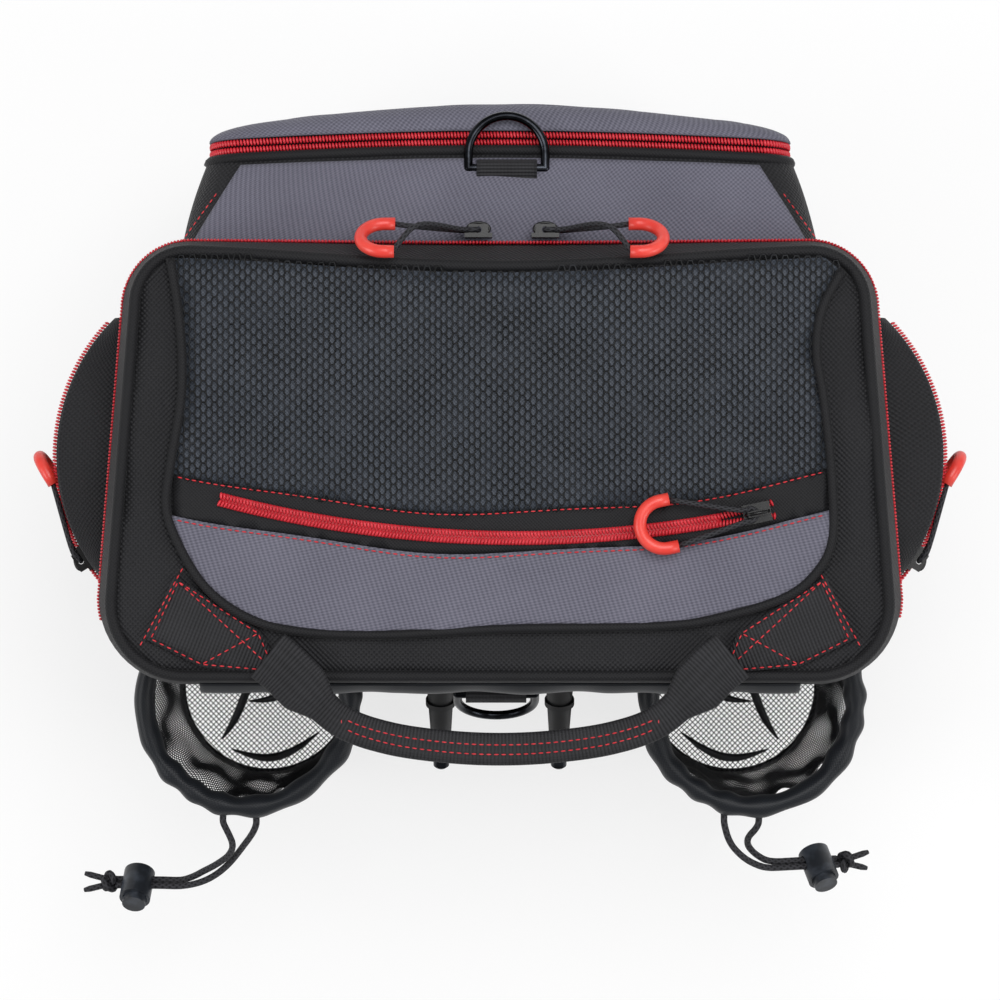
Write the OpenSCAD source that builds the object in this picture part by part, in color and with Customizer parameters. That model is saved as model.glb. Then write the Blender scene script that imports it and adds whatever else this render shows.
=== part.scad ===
// Soft-sided gear bag with a zipped lid, a front pocket, two side pockets and two bottle pockets.
// Millimetres. +Z is up, +Y is towards the front pocket, and the origin is on the floor at the middle of the base.

/* [Body] */
// Width across the zip line at the rear
body_w_rear = 410; // [330:5:500]
// Width across the zip line at the front
body_w_front = 386; // [310:5:480]
// Depth of the main compartment, front to rear
body_d = 228; // [180:2:290]
// Height of the walls, from the base to the zip line
body_h = 224; // [190:2:290]
// Thickness of the padded fabric walls
wall_t = 4; // [3:0.5:6]
// Corner radius at the rear
rear_r = 45; // [35:1:55]
// Corner radius at the front
front_r = 36; // [25:1:45]
// Height of the feet
foot_h = 8; // [5:1:12]

/* [Lid] */
// Height of the lid band, from the zip line to the top
lid_h = 22; // [18:1:30]
// How far the lid's top stands in from the zip line at the sides
lid_side_in = 8; // [6:0.5:11]
// How far the lid's top stands in at the front
lid_front_in = 6; // [4:0.5:9]
// How far the lid's top stands in at the rear
lid_rear_in = 5; // [4:0.5:7]
// Fabric thickness of the lid
lid_t = 3; // [2:0.5:4]
// Thickness of the foam board in the lid
lid_board_t = 4; // [2:0.5:6]
// Radius of the cord in the lid's edge piping
piping_r = 3.2; // [2:0.2:4]
// Radius of the cord in the pocket panel's piping
inner_piping_r = 2.2; // [1.5:0.1:3]
// Half the width of the lid pocket
lid_pocket_half_w = 162; // [120:2:170]
// Corner radius of the lid pocket
lid_pocket_r = 55; // [40:1:65]
// Radius of the curve of the lid pocket's zip
lid_zip_r = 581; // [500:1:700]
// Thickness of the lid pocket's mesh and panel
lid_sheet_t = 1; // [0.6:0.1:1.5]

/* [Zips] */
// Width of each half of the interlocked coil
coil_half_w = 3.6; // [3:0.1:5]
// Height of the coil above its tape
coil_t = 2.2; // [1.6:0.1:3]
// Width of each tape beside the coil
tape_w = 5; // [4:0.5:8]
// Length of a slider
slider_l = 14; // [11:0.5:18]
// Width of a slider
slider_w = 10; // [8:0.5:13]
// Length of a pull, from the slider's bail to the end of its grip
pull_l = 62; // [50:1:75]
// Radius of the U-shaped grip's bend
grip_bend_r = 12; // [10:0.5:15]
// Radius of the grip's tube
grip_r = 3.2; // [2.6:0.1:4]
// Radius of the pull's cord
pull_cord_r = 1.4; // [1:0.1:1.6]

/* [Front pocket] */
// Half the width of the front pocket
front_half_w = 152; // [120:1:165]
// Height of the top of the front pocket above the floor, at its zip
front_top = 207; // [170:1:214]
// Height of the bottom of the front pocket above the floor
front_bottom = 30; // [28:1:60]
// Depth of the front pocket behind its zip
front_gusset_d = 49; // [35:1:60]
// Depth of the front pocket ahead of its zip
front_flap_d = 22; // [16:1:26]
// Radius of the front pocket's corners
front_corner_r = 18; // [12:1:25]

/* [Side pockets] */
// Length of a side pocket along the wall
side_l = 144; // [110:2:146]
// How far a side pocket stands out
side_out = 31; // [24:1:36]
// Height of the top of a side pocket above the floor
side_top = 204; // [170:1:215]
// Height of the bottom of a side pocket above the floor
side_bottom = 46; // [42:1:70]
// Thickness of the side pocket's fabric
side_t = 2.5; // [2:0.5:4]

/* [Bottle pockets] */
// Outer radius of a bottle pocket
bottle_r = 58; // [45:1:60]
// Distance of its axis from the rear wall
bottle_out = 12.5; // [5:0.5:20]
// Distance of its axis from the bag's middle
bottle_x = 134; // [124:1:140]
// Height of the hem's top above the floor
bottle_top = 172; // [140:1:180]
// Height of its bottom above the floor
bottle_bottom = 20; // [15:1:40]
// Height of the gathered hem
hem_h = 15; // [10:1:20]
// Thickness of the gathered hem
hem_t = 6; // [4:0.5:8]
// Thickness of the mesh
mesh_t = 1.6; // [1.2:0.2:3]

/* [Hardware] */
// Width of the webbing that holds the rings
webbing_w = 31; // [25:1:33]
// Radius of the rings' wire
ring_wire_r = 2.3; // [1.8:0.1:2.6]
// Inner width of the rings
ring_in_w = 35; // [33.6:0.2:42]
// Outer depth of the rings
ring_d = 27; // [22:1:34]
// Radius of a peg at its root
peg_root_r = 8; // [6:0.5:10]
// Radius of a peg at its tip
peg_tip_r = 5; // [4:0.5:6]
// Length of a peg's tapered part
peg_l = 46; // [30:1:50]
// Distance between the two pegs
peg_gap = 64; // [58:1:80]
// Height of the pegs' roots above the floor
peg_z = 150; // [120:1:165]
// Radius of a peg's bead
bead_r = 4.3; // [3:0.1:5]
// Radius of a drawcord
cord_r = 1.8; // [1.4:0.1:2]
// Radius of a cord lock's barrel
lock_r = 8.4; // [7:0.2:10]
// Length of a cord lock's barrel
lock_l = 18; // [16:0.5:22]

/* [Handle] */
// Half the distance between the handle's ends
handle_half = 116; // [95:1:120]
// How far the handle reaches behind its hinge line
handle_reach = 53; // [40:1:70]
// Width of the folded grip
handle_w = 16; // [14:1:22]
// Thickness of the folded grip
handle_t = 7; // [5:0.5:9]

/* [Hidden] */
$fn = 48;
far = 600;                        // reach of a cutting block
gap = 0.3;                        // running gap between pieces that move apart
seam = 0.1;                       // half the gap between panels at a sewn seam
base_t = 5;                       // thickness of the base panel
zip_z = foot_h + body_h;          // height of the zip line
lid_top = zip_z + lid_h;          // height of the lid's top face
half_d = body_d / 2;
zip_stop = 34;                    // how far ahead of the rear the main zip ends
zip_band = coil_half_w + gap;     // height of the rebate that a coil half sits in

// ---- outlines in plan ----
function arc_points(centre, r, from, to, n = 8) =
    [for (i = [0 : n]) let (a = from + (to - from) * i / n) centre + r * [cos(a), sin(a)]];

// The bag's outline, taken in at the sides, the front and the rear
function plan(side = 0, front = 0, rear = 0) =
    let (wr = body_w_rear / 2 - side, wf = body_w_front / 2 - side,
        y0 = -half_d + rear, y1 = half_d - front,
        rr = rear_r - (side + rear) / 2, rf = front_r - (side + front) / 2)
    concat(arc_points([wf - rf, y1 - rf], rf, 0, 90),
        arc_points([-wf + rf, y1 - rf], rf, 90, 180),
        arc_points([-wr + rr, y0 + rr], rr, 180, 270),
        arc_points([wr - rr, y0 + rr], rr, 270, 360));

// X of the side wall's outside at a given Y
side_slope = (body_w_rear - body_w_front) / 2 / (body_d - rear_r - front_r);
function side_x(y) = body_w_rear / 2 - side_slope * (y + half_d - rear_r);

module prism(points, z0, z1) { translate([0, 0, z0]) linear_extrude(z1 - z0) polygon(points); }

// A solid that leans from one outline to another
module leaning(low, z0, high, z1) {
    skin = 0.01;
    hull() {
        prism(low, z0, z0 + skin);
        prism(high, z1 - skin, z1);
    }
}

// The same, along Y: outlines in X and Z
module leaning_y(back, y0, front, y1) { rotate([90, 0, 0]) mirror([0, 0, 1]) leaning(back, y0, front, y1); }
module prism_y(points, y0, y1) { rotate([90, 0, 0]) mirror([0, 0, 1]) prism(points, y0, y1); }

// What is built for the right side, drawn on the side asked for
module on_side(s) { if (s < 0) mirror([1, 0, 0]) children(); else children(); }

// ---- tubes along a route ----
function unit(v) = v / norm(v);
function tangent(p, i, closed) =
    let (n = len(p), a = closed ? (i + n - 1) % n : max(i - 1, 0), b = closed ? (i + 1) % n : min(i + 1, n - 1))
    unit(p[b] - p[a]);

// A round tube whose centreline runs on the points; side_ref is never along the route
module tube(p, r, sides = 8, closed = false, side_ref = [0, 0, 1]) {
    n = len(p);
    rings = [for (i = [0 : n - 1]) let (t = tangent(p, i, closed), u = unit(cross(t, side_ref)), v = cross(t, u))
        for (k = [0 : sides - 1]) p[i] + r * (cos(360 * k / sides) * u + sin(360 * k / sides) * v)];
    walls = [for (i = [0 : (closed ? n - 1 : n - 2)], k = [0 : sides - 1])
        let (j = (i + 1) % n, m = (k + 1) % sides)
        each [[i * sides + k, j * sides + m, i * sides + m], [i * sides + k, j * sides + k, j * sides + m]]];
    caps = closed ? [] : [[for (k = [0 : sides - 1]) k], [for (k = [sides - 1 : -1 : 0]) (n - 1) * sides + k]];
    polyhedron(rings, concat(walls, caps));
}

// A straight round rod between two points
module rod(a, b, r) {
    d = b - a;
    translate(a) rotate([0, acos(d[2] / norm(d)), atan2(d[1], d[0])]) cylinder(h = norm(d), r = r);
}

// ---- body ----
module ahead_of_zip_stop() { translate([-far, -half_d + zip_stop, 0]) cube([2 * far, 2 * far, far]); }
module wall_ring() {
    difference() {
        prism(plan(), foot_h + base_t + gap, zip_z - gap);
        prism(plan(wall_t, wall_t, wall_t), foot_h, zip_z + 1);
        translate([0, 0, zip_z - zip_band]) ahead_of_zip_stop();
    }
}

// Sectors that part the walls at the corners
front_corner = [body_w_front / 2 - front_r, half_d - front_r];
rear_corner = [body_w_rear / 2 - rear_r, -half_d + rear_r];
module sector(corner) {
    s = sign(corner[1]);
    prism([[-corner[0], corner[1]], corner, corner + [far, s * far], [-corner[0] - far, corner[1] + s * far]], -1, far);
}
module end_panel(corner) { intersection() { wall_ring(); sector(corner); } }
module front_panel() { color("#2a2a2e") end_panel(front_corner); }
module rear_panel() { color("#202023") end_panel(rear_corner); }
module side_panel(s) {
    color("#232326") on_side(s) difference() {
        wall_ring();
        translate([-2 * far, -far, -1]) cube([2 * far, 2 * far, 2 * far]);
        translate([0, -seam, 0]) sector(front_corner);
        translate([0, seam, 0]) sector(rear_corner);
    }
}
module left_panel() { side_panel(-1); }
module right_panel() { side_panel(1); }
module base_panel() { color("#1c1c1e") prism(plan(), foot_h, foot_h + base_t); }
module base_board() {
    in = wall_t + 1;
    color("#303034") prism(plan(in, in, in), foot_h + base_t, foot_h + base_t + 3);
}
foot_x = body_w_front / 2 - 45;
foot_y = half_d - 34;
module feet() {
    color("#18181a") for (x = [-foot_x, foot_x], y = [-foot_y, foot_y])
        translate([x, y, 0]) cylinder(h = foot_h, r1 = 10, r2 = 13);
}

// ---- main zip: its lower half is on the walls and its upper half is on the lid ----
module main_coil(z0) {
    difference() {
        prism(plan(), z0, z0 + coil_half_w);
        prism(plan(coil_t, coil_t, coil_t), 0, far);
        translate([-far, -half_d + zip_stop + gap - far, 0]) cube([2 * far, far, far]);
    }
}
module main_zip_lower() { color("firebrick") main_coil(zip_z - gap / 2 - coil_half_w); }
module main_zip_upper() { color("firebrick") main_coil(zip_z + gap / 2); }

// ---- lid ----
lid_hinge_y = -half_d;            // the lid folds at the rear edge of the zip line
piping_in = 2;
piping_path = [for (p = plan(lid_side_in + piping_in, lid_front_in + piping_in, lid_rear_in + piping_in))
    [p[0], p[1], lid_top - 1]];
module lid_panel() {
    z0 = zip_z + gap;
    zb = zip_z + zip_band;
    color("#242428") difference() {
        leaning(plan(), zb, plan(lid_side_in, lid_front_in, lid_rear_in), lid_top);
        leaning(plan(lid_t, lid_t, lid_t), zb - 0.1,
            plan(lid_side_in + lid_t, lid_front_in + lid_t, lid_rear_in + lid_t), lid_top - lid_t);
        tube(piping_path, piping_r + 0.1, closed = true);
    }
    color("#242428") difference() {
        prism(plan(), z0, zb);
        prism(plan(lid_t, lid_t, lid_t), z0 - 1, zb + 1);
        ahead_of_zip_stop();
    }
}
module lid_board() {
    in = lid_t + 4;
    color("#3a3a40") prism(plan(lid_side_in + in, lid_front_in + in, lid_rear_in + in),
        lid_top - lid_t - lid_board_t, lid_top - lid_t);
}
module lid_piping() { color("#1a1a1c") tube(piping_path, piping_r, closed = true); }

sheet_z = lid_top + 1.6;          // underside of the lid pocket's sheets
lid_pocket_y0 = -half_d + 29;     // the lid pocket's rear edge
lid_pocket_y1 = half_d - lid_front_in - piping_in - piping_r - gap - 0.5;
pocket_run = lid_pocket_half_w - lid_pocket_r;
inner_plan = concat([[-lid_pocket_half_w, lid_pocket_y1]],
    arc_points([-pocket_run, lid_pocket_y0 + lid_pocket_r], lid_pocket_r, 180, 270, 10),
    arc_points([pocket_run, lid_pocket_y0 + lid_pocket_r], lid_pocket_r, 270, 360, 10),
    [[lid_pocket_half_w, lid_pocket_y1]]);
module lid_inner_piping() {
    color("#1a1a1c") tube([for (p = inner_plan) [p[0], p[1], lid_top + inner_piping_r + 0.05]], inner_piping_r);
}

zip_centre = [8.5, -half_d + 657];   // centre of the curve of the lid pocket's zip
lid_zip_ends = [-14.8, 12.9];        // ends of the zip on that curve, in degrees from straight back
lid_slider_at = 11.9;
zip_half = coil_half_w + tape_w;
module pocket_field() {
    edge = inner_piping_r + gap;
    w = lid_pocket_half_w - edge;
    r = lid_pocket_r - edge;
    y0 = lid_pocket_y0 + edge;
    prism(concat([[-w, lid_pocket_y1]], arc_points([-w + r, y0 + r], r, 180, 270, 10),
        arc_points([w - r, y0 + r], r, 270, 360, 10), [[w, lid_pocket_y1]]), sheet_z, sheet_z + lid_sheet_t);
}
module zip_disc(r) { translate(zip_centre) cylinder(h = far, r = r, $fn = 200); }
module lid_mesh() {
    color("#3c4048") intersection() {
        pocket_field();
        zip_disc(lid_zip_r - zip_half - seam);
    }
}
module lid_pocket_panel() {
    color("slategray") difference() {
        pocket_field();
        zip_disc(lid_zip_r + zip_half + seam);
    }
}
module lid_pocket_zip() {
    color("firebrick") {
        intersection() {
            pocket_field();
            difference() { zip_disc(lid_zip_r + zip_half); zip_disc(lid_zip_r - zip_half); }
        }
        translate([zip_centre[0], zip_centre[1], sheet_z + lid_sheet_t]) rotate([0, 0, 270 + lid_zip_ends[0]])
            rotate_extrude(angle = lid_zip_ends[1] - lid_zip_ends[0], $fn = 400)
                translate([lid_zip_r - coil_half_w, -0.05]) square([2 * coil_half_w, coil_t + 0.05]);
    }
}

// ---- handle ----
anchor_t = 2.4;
hinge_y = -half_d + 16;
hinge_z = lid_top + anchor_t + gap;
anchor_plan = [[handle_half + 50, 52], [handle_half + 2, 28], [handle_half - 8, 7.5], [handle_half + 40, 10],
    [handle_half + 61, 26]];      // distances from the bag's middle and from its rear edge
module handle_anchors() {
    color("#1f1f22") for (s = [-1, 1]) on_side(s)
        difference() {
            prism([for (p = anchor_plan) [p[0], p[1] - half_d]], lid_top + 0.05, lid_top + anchor_t);
            tube([for (p = inner_plan) [p[0], p[1], lid_top + inner_piping_r]], inner_piping_r + gap);
            tube(piping_path, piping_r + gap, closed = true);
        }
}
module handle_grip() {
    sag = handle_reach - handle_w / 2;
    r = (handle_half ^ 2 + sag ^ 2) / (2 * sag);
    sweep = 2 * asin(handle_half / r) + 10;
    color("#2b2b2e") intersection() {
        translate([0, hinge_y - sag + r, hinge_z]) rotate([0, 0, 270 - sweep / 2])
            rotate_extrude(angle = sweep, $fn = 160) translate([r - handle_w / 2, 0]) square([handle_w, handle_t]);
        translate([-far, hinge_y - gap - far, 0]) cube([2 * far, far, far]);
    }
}

// ---- sliders and pulls: travel along X, and the coil's face is Z = 0 ----
bail_z = 4.4;                      // height of the pull's pin above the coil
bail_w = 3;
module slider() {
    plate_t = 2.2;
    bail_t = 1.2;
    hole = pull_cord_r + gap;
    color("#101012") difference() {
        union() {
            translate([-slider_l / 2, -slider_w / 2, gap]) cube([slider_l, slider_w, plate_t]);
            translate([-slider_l / 2 + 2, -bail_w / 2, gap])
                cube([slider_l - 4, bail_w, bail_z + hole + bail_t - gap]);
        }
        translate([0, bail_w, bail_z]) rotate([90, 0, 0]) cylinder(h = 2 * bail_w, r = hole);
    }
}

// The U grip may be twisted about its length and set off from the pin by shift; its cord runs from the
// pin past the slider, and then by way of a knee where it has to clear an edge
module pull(twist = 0, shift = [0, 0.4], knee = []) {
    leg = 5;
    bend_x = pull_l - grip_bend_r - grip_r;
    eye_y = bail_w / 2 + pull_cord_r + gap;
    past_x = slider_l / 2 + 0.5;
    across = [cos(twist), sin(twist)];
    function at(x, y) = [x, y * across[0] + shift[0], y * across[1] + shift[1]];
    mouth = [for (s = [1, -1]) at(bend_x - leg + 1, s * grip_bend_r)];
    knees = [for (s = [1, -1]) [for (k = knee) [k[0], k[1] + s * k[3], k[2]]]];
    color("crimson") {
        tube(concat([at(bend_x - leg, grip_bend_r)],
            [for (p = arc_points([bend_x, 0], grip_bend_r, 90, -90, 10)) at(p[0], p[1])],
            [at(bend_x - leg, -grip_bend_r)]), grip_r, sides = 12);
        tube(concat([mouth[0]], knees[0], [[past_x, eye_y, 0], [0, eye_y, 0], [0, -eye_y, 0], [past_x, -eye_y, 0]],
            knees[1], [mouth[1]]), pull_cord_r);
    }
}

main_x = [-11, 23];                // where the main sliders rest
main_twist = -40;                  // the main pulls lean over the lid's edge
main_shift = [lid_h + 2, -6];
main_knee = [[30, lid_h, 0, 5]];
module at_main(s) {
    translate([main_x[s < 0 ? 0 : 1], half_d, zip_z]) on_side(s) rotate([-90, 0, 0]) mirror([0, 1, 0]) children();
}
module main_left_slider() { at_main(-1) slider(); }
module main_right_slider() { at_main(1) slider(); }
module main_left_pull() { at_main(-1) translate([0, 0, bail_z]) pull(main_twist, main_shift, main_knee); }
module main_right_pull() { at_main(1) translate([0, 0, bail_z]) pull(main_twist, main_shift, main_knee); }

module at_lid_slider() {
    translate([zip_centre[0], zip_centre[1], sheet_z + lid_sheet_t + coil_t]) rotate([0, 0, lid_slider_at])
        translate([0, -lid_zip_r, 0]) rotate([0, 0, 180]) children();
}
module lid_pocket_slider() { at_lid_slider() slider(); }
module lid_pocket_pull() { at_lid_slider() translate([0, 0, bail_z]) pull(0, [-4, 0.4]); }

// ---- front pocket: a gusset on the wall and a flap that folds down at its foot ----
zip_y = half_d + front_gusset_d;             // plane of the front pocket's zip
front_root_in = 12;                          // the gusset's root wraps round the body's corners
front_root_wide = 14;                        // and is wider than the zip by this much each side
front_root_top = zip_z - zip_band - 6;
pocket_t = 3;
function rounded(w, z0, z1, r) = concat(arc_points([w - r, z1 - r], r, 0, 90), arc_points([-w + r, z1 - r], r, 90, 180),
    arc_points([-w + 4, z0 + 4], 4, 180, 270, 3), arc_points([w - 4, z0 + 4], 4, 270, 360, 3));
function front_outline(in = 0, wide = 0, high = 0) =
    rounded(front_half_w + wide - in, front_bottom + in, front_top + high - in, front_corner_r - in / 2);
module front_solid(in) {
    leaning_y(front_outline(in, front_root_wide, front_root_top - front_top), half_d - front_root_in, front_outline(in),
        zip_y - zip_band + (in > 0 ? 0.1 : 0));
}
module front_shell() {
    difference() {
        front_solid(0);
        front_solid(pocket_t);
        prism(plan(-gap, -gap, -gap), 0, far);
    }
}
shoulder_w = front_half_w - front_corner_r;
module shoulder_field(grow) {
    prism([[-shoulder_w - front_root_wide - grow, half_d - front_root_in], [shoulder_w + front_root_wide + grow, half_d - front_root_in],
        [shoulder_w + grow, zip_y], [-shoulder_w - grow, zip_y]], (front_top + front_bottom) / 2, far);
}
module front_shoulder() { color("slategray") intersection() { front_shell(); shoulder_field(0); } }
module front_gusset() { color("#232326") difference() { front_shell(); shoulder_field(seam); } }
flap_in = 6;                                  // the flap's face stands in from its rim
module front_flap() {
    y0 = zip_y + zip_band;
    y1 = zip_y + front_flap_d;
    color("slategray") difference() {
        leaning_y(front_outline(), y0, front_outline(flap_in), y1);
        leaning_y(front_outline(pocket_t), y0 - 0.1, front_outline(pocket_t + flap_in), y1 - pocket_t);
    }
    color("slategray") prism_y([[-shoulder_w, front_bottom], [shoulder_w, front_bottom],
        [shoulder_w, front_bottom + pocket_t], [-shoulder_w, front_bottom + pocket_t]], zip_y + gap, y0 + 0.05);
}
front_zip_foot = front_bottom + 30;           // the zip ends this far above the floor
module front_coil(y0) {
    intersection() {
        difference() {
            prism_y(front_outline(), y0, y0 + coil_half_w);
            prism_y(front_outline(coil_t), y0 - 1, y0 + coil_half_w + 1);
        }
        translate([-far, 0, front_zip_foot]) cube([2 * far, far, far]);
    }
}
module front_zip_inner() { color("firebrick") front_coil(zip_y - gap / 2 - coil_half_w); }
module front_zip_outer() { color("firebrick") front_coil(zip_y + gap / 2); }
front_slider_z = 128;
module at_front_slider() {
    translate([-front_half_w, zip_y, front_slider_z]) mirror([1, 0, 0]) rotate([0, 90, 0]) children();
}
module front_slider() { at_front_slider() slider(); }
module front_pull() { at_front_slider() translate([0, 0, bail_z]) pull(0, [0, 2.6]); }

// ---- rings on webbing tabs ----
loop_r = ring_wire_r + gap + 1.6;             // outside of the webbing round a ring's bar
tab_step = 3;                                 // the front loop stands this far back from the zip
tab_seat = 0.85;                              // and is pressed this far into the shoulder
shoulder_slope = (front_root_top - front_top) / (front_gusset_d + front_root_in - zip_band);
front_loop = [3.5, zip_y - zip_band - loop_r - tab_step, front_top + shoulder_slope * (loop_r + tab_step)
    + loop_r * sqrt(1 + shoulder_slope ^ 2) - tab_seat];
rear_loop = [-2, -half_d - loop_r - gap / 2, zip_z - 12];
ring_drop = 62;                               // the rear ring hangs at this angle below level
module webbing_loop() { rotate([0, 90, 0]) cylinder(h = webbing_w, r = loop_r, center = true); }
module ring_tabs() {
    bore = ring_wire_r + gap;
    color("#1d1d20") {
        difference() {
            union() {
                translate(front_loop) webbing_loop();
                translate(front_loop - [webbing_w / 2, 14, loop_r]) cube([webbing_w, 14, 1.6]);
            }
            translate(front_loop) rotate([0, 90, 0]) cylinder(h = 2 * webbing_w, r = bore, center = true);
            leaning_y(front_outline(-0.05, front_root_wide, front_root_top - front_top), half_d - front_root_in,
                front_outline(-0.05), zip_y - zip_band);
        }
        difference() {
            union() {
                translate(rear_loop) webbing_loop();
                translate(rear_loop - [webbing_w / 2, loop_r - 0.1, 16])
                    translate([0, 2 * loop_r - 1.7, 0]) cube([webbing_w, 1.6, 16]);
            }
            translate(rear_loop) rotate([0, 90, 0]) cylinder(h = 2 * webbing_w, r = bore, center = true);
        }
    }
}
// A D ring about its bar, lying along +Y
module ring() {
    bend = ring_in_w / 2 + ring_wire_r;
    leg = ring_d - ring_wire_r - bend * 0.8;
    color("#0e0e10") {
        rod([-bend, 0, 0], [bend, 0, 0], ring_wire_r);
        for (s = [-1, 1]) {
            translate([s * bend, 0, 0]) sphere(r = ring_wire_r);
            rod([s * bend, 0, 0], [s * bend, ring_d - bend, 0], ring_wire_r);
        }
        translate([0, ring_d - bend, 0]) rotate_extrude(angle = 180) translate([bend, 0]) circle(r = ring_wire_r);
    }
}
module front_ring() { translate(front_loop) ring(); }
module rear_ring() { translate(rear_loop) rotate([ring_drop, 0, 0]) mirror([0, 1, 0]) ring(); }

// ---- side pockets: a curved shell on the wall, with a zipped top that folds up at the wall ----
side_mid = 4;                                 // Y of a side pocket's middle
side_curve_r = ((side_l / 2) ^ 2 + side_out ^ 2) / (2 * side_out);
side_cx = side_x(side_mid) + side_out - side_curve_r;
side_zip_z = side_top - 12;                   // height of a side pocket's zip
side_slider_at = -32;                         // where the slider rests on the curve, in degrees
side_shift = [-14, -9];                       // the pull droops, and lies in towards the pocket
module side_disc(in, z0, z1) { translate([side_cx, side_mid, z0]) cylinder(h = z1 - z0, r = side_curve_r - in, $fn = 96); }
module off_wall(clear = gap) {
    difference() {
        children();
        prism(plan(-clear, -clear, -clear), 0, far);
    }
}
module side_shell(s) {
    color("#232326") on_side(s) off_wall() difference() {
        side_disc(0, side_bottom, side_zip_z - zip_band);
        side_disc(side_t, side_bottom + side_t, side_zip_z);
    }
}
module side_lid(s) {
    color("#2a2a2e") on_side(s) off_wall() difference() {
        side_disc(0, side_zip_z + zip_band, side_top);
        side_disc(side_t, side_zip_z, side_top - side_t);
    }
}
module side_coil(s, z0) {
    color("firebrick") on_side(s) off_wall(1.5) difference() {
        side_disc(0, z0, z0 + coil_half_w);
        side_disc(coil_t, z0 - 1, z0 + coil_half_w + 1);
    }
}
module at_side_slider(s) {
    on_side(s) translate([side_cx, side_mid, side_zip_z]) rotate([0, 0, side_slider_at])
        translate([side_curve_r, 0, 0]) rotate([0, 90, 0]) rotate([0, 0, 90]) children();
}
module left_pocket_shell() { side_shell(-1); }
module left_pocket_top() { side_lid(-1); }
module left_zip_inner() { side_coil(-1, side_zip_z - gap / 2 - coil_half_w); }
module left_zip_outer() { side_coil(-1, side_zip_z + gap / 2); }
module left_slider() { at_side_slider(-1) slider(); }
module left_pull() { at_side_slider(-1) translate([0, 0, bail_z]) pull(0, side_shift); }
module right_pocket_shell() { side_shell(1); }
module right_pocket_top() { side_lid(1); }
module right_zip_inner() { side_coil(1, side_zip_z - gap / 2 - coil_half_w); }
module right_zip_outer() { side_coil(1, side_zip_z + gap / 2); }
module right_slider() { at_side_slider(1) slider(); }
module right_pull() { at_side_slider(1) translate([0, 0, bail_z]) pull(0, side_shift); }

// ---- pegs on the rear wall ----
peg_drop = 30;                                // slope of the pegs
bead_neck = 3;
bead_l = 9;
module at_pegs() {
    for (s = [-1, 1]) translate([s * peg_gap / 2, -half_d, peg_z]) rotate([90 + peg_drop, 0, 0]) children();
}
module pegs() {
    collar_z = 14;
    color("#1b1b1d") difference() {
        union() {
            at_pegs() {
                translate([0, 0, -6]) cylinder(h = peg_l + 6, r1 = peg_root_r, r2 = peg_tip_r);
                translate([0, 0, collar_z]) cylinder(h = 3, r = peg_root_r);
            }
            for (s = [-1, 1]) translate([s * peg_gap / 2, -half_d, peg_z]) rotate([90, 0, 0])
                cylinder(h = 3, r = peg_root_r + 5);
        }
        translate([-far, -half_d, 0]) cube([2 * far, far, far]);
    }
}
module peg_beads() {
    neck_r = 1.6;
    chamfer = 1.2;
    color("#4a4c52") at_pegs() translate([0, 0, peg_l]) rotate_extrude()
        polygon([[0, 0], [neck_r, 0], [neck_r, bead_neck], [bead_r - chamfer, bead_neck],
            [bead_r, bead_neck + chamfer], [bead_r, bead_neck + bead_l - chamfer],
            [bead_r - chamfer, bead_neck + bead_l], [0, bead_neck + bead_l]]);
}

// ---- bottle pockets ----
bottle_y = -half_d - bottle_out;
module bottle_tub(s, r, z0, z1) { translate([s * bottle_x, bottle_y, z0]) cylinder(h = z1 - z0, r = r, $fn = 96); }
module bottle_net(s) {
    color("#2c2c30") off_wall(seam) difference() {
        bottle_tub(s, bottle_r, bottle_bottom, bottle_top - hem_h - 0.05);
        bottle_tub(s, bottle_r - mesh_t, bottle_bottom + mesh_t, far);
    }
}
module left_bottle_net() { bottle_net(-1); }
module right_bottle_net() { bottle_net(1); }
hem_out = 2;                                  // the hem stands proud of the net
module bottle_hems() {
    color("#17171a") for (s = [-1, 1]) off_wall(seam) difference() {
        bottle_tub(s, bottle_r + hem_out, bottle_top - hem_h, bottle_top);
        bottle_tub(s, bottle_r + hem_out - hem_t, 0, far);
    }
}

// ---- drawcords and their locks ----
left_route_a = [[-147, -185.6, 165], [-147, -190, 165], [-145.5, -194, 163], [-144, -198, 160], [-143, -202, 156],
    [-143.5, -206, 151.5], [-146, -210, 146], [-150, -213.5, 140.5], [-155, -217, 135], [-161, -220.5, 129],
    [-167, -224, 123.5], [-174, -226.5, 119], [-184, -226.5, 118], [-194, -226.5, 117], [-204, -226.5, 116],
    [-210, -226.5, 115.4]];
left_route_b = [[-129.5, -186.9, 165], [-129.5, -191, 164.5], [-131, -195, 162.5], [-133.5, -199, 158.5],
    [-136.5, -203, 153], [-139.5, -207, 147], [-143, -211.5, 141.5], [-147, -216, 137], [-152, -220.5, 133],
    [-158, -224.5, 129.5], [-165, -227.5, 126], [-174, -229.5, 122], [-184, -229.5, 121], [-194, -229.5, 120],
    [-204, -229.5, 119], [-210, -229.5, 118.4]];
right_route_a = [[119, -185.2, 165], [119, -190, 165], [120, -194.5, 163.5], [121.5, -199, 161.5],
    [124, -203.5, 159], [127.5, -207.5, 156.5], [131.5, -211, 153.5], [136, -213.8, 150], [140.5, -215.8, 147],
    [145, -216.8, 144.5], [150.2, -217, 142.2], [159.5, -217, 138.5], [168.8, -217, 134.8], [178, -217, 131.1],
    [183.7, -217, 128.9]];
right_route_b = [[137.5, -186.9, 165], [137.2, -191, 164.5], [135.5, -194.5, 162], [133.5, -197.5, 158],
    [132.5, -200.5, 153.5], [133, -204, 149.5], [135.5, -207.5, 146.5], [139, -210.5, 144], [143.5, -213, 141.8],
    [149.2, -214, 139.6], [158.5, -214, 135.9], [167.8, -214, 132.2], [177.1, -214, 128.5], [182.7, -214, 126.3]];
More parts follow.
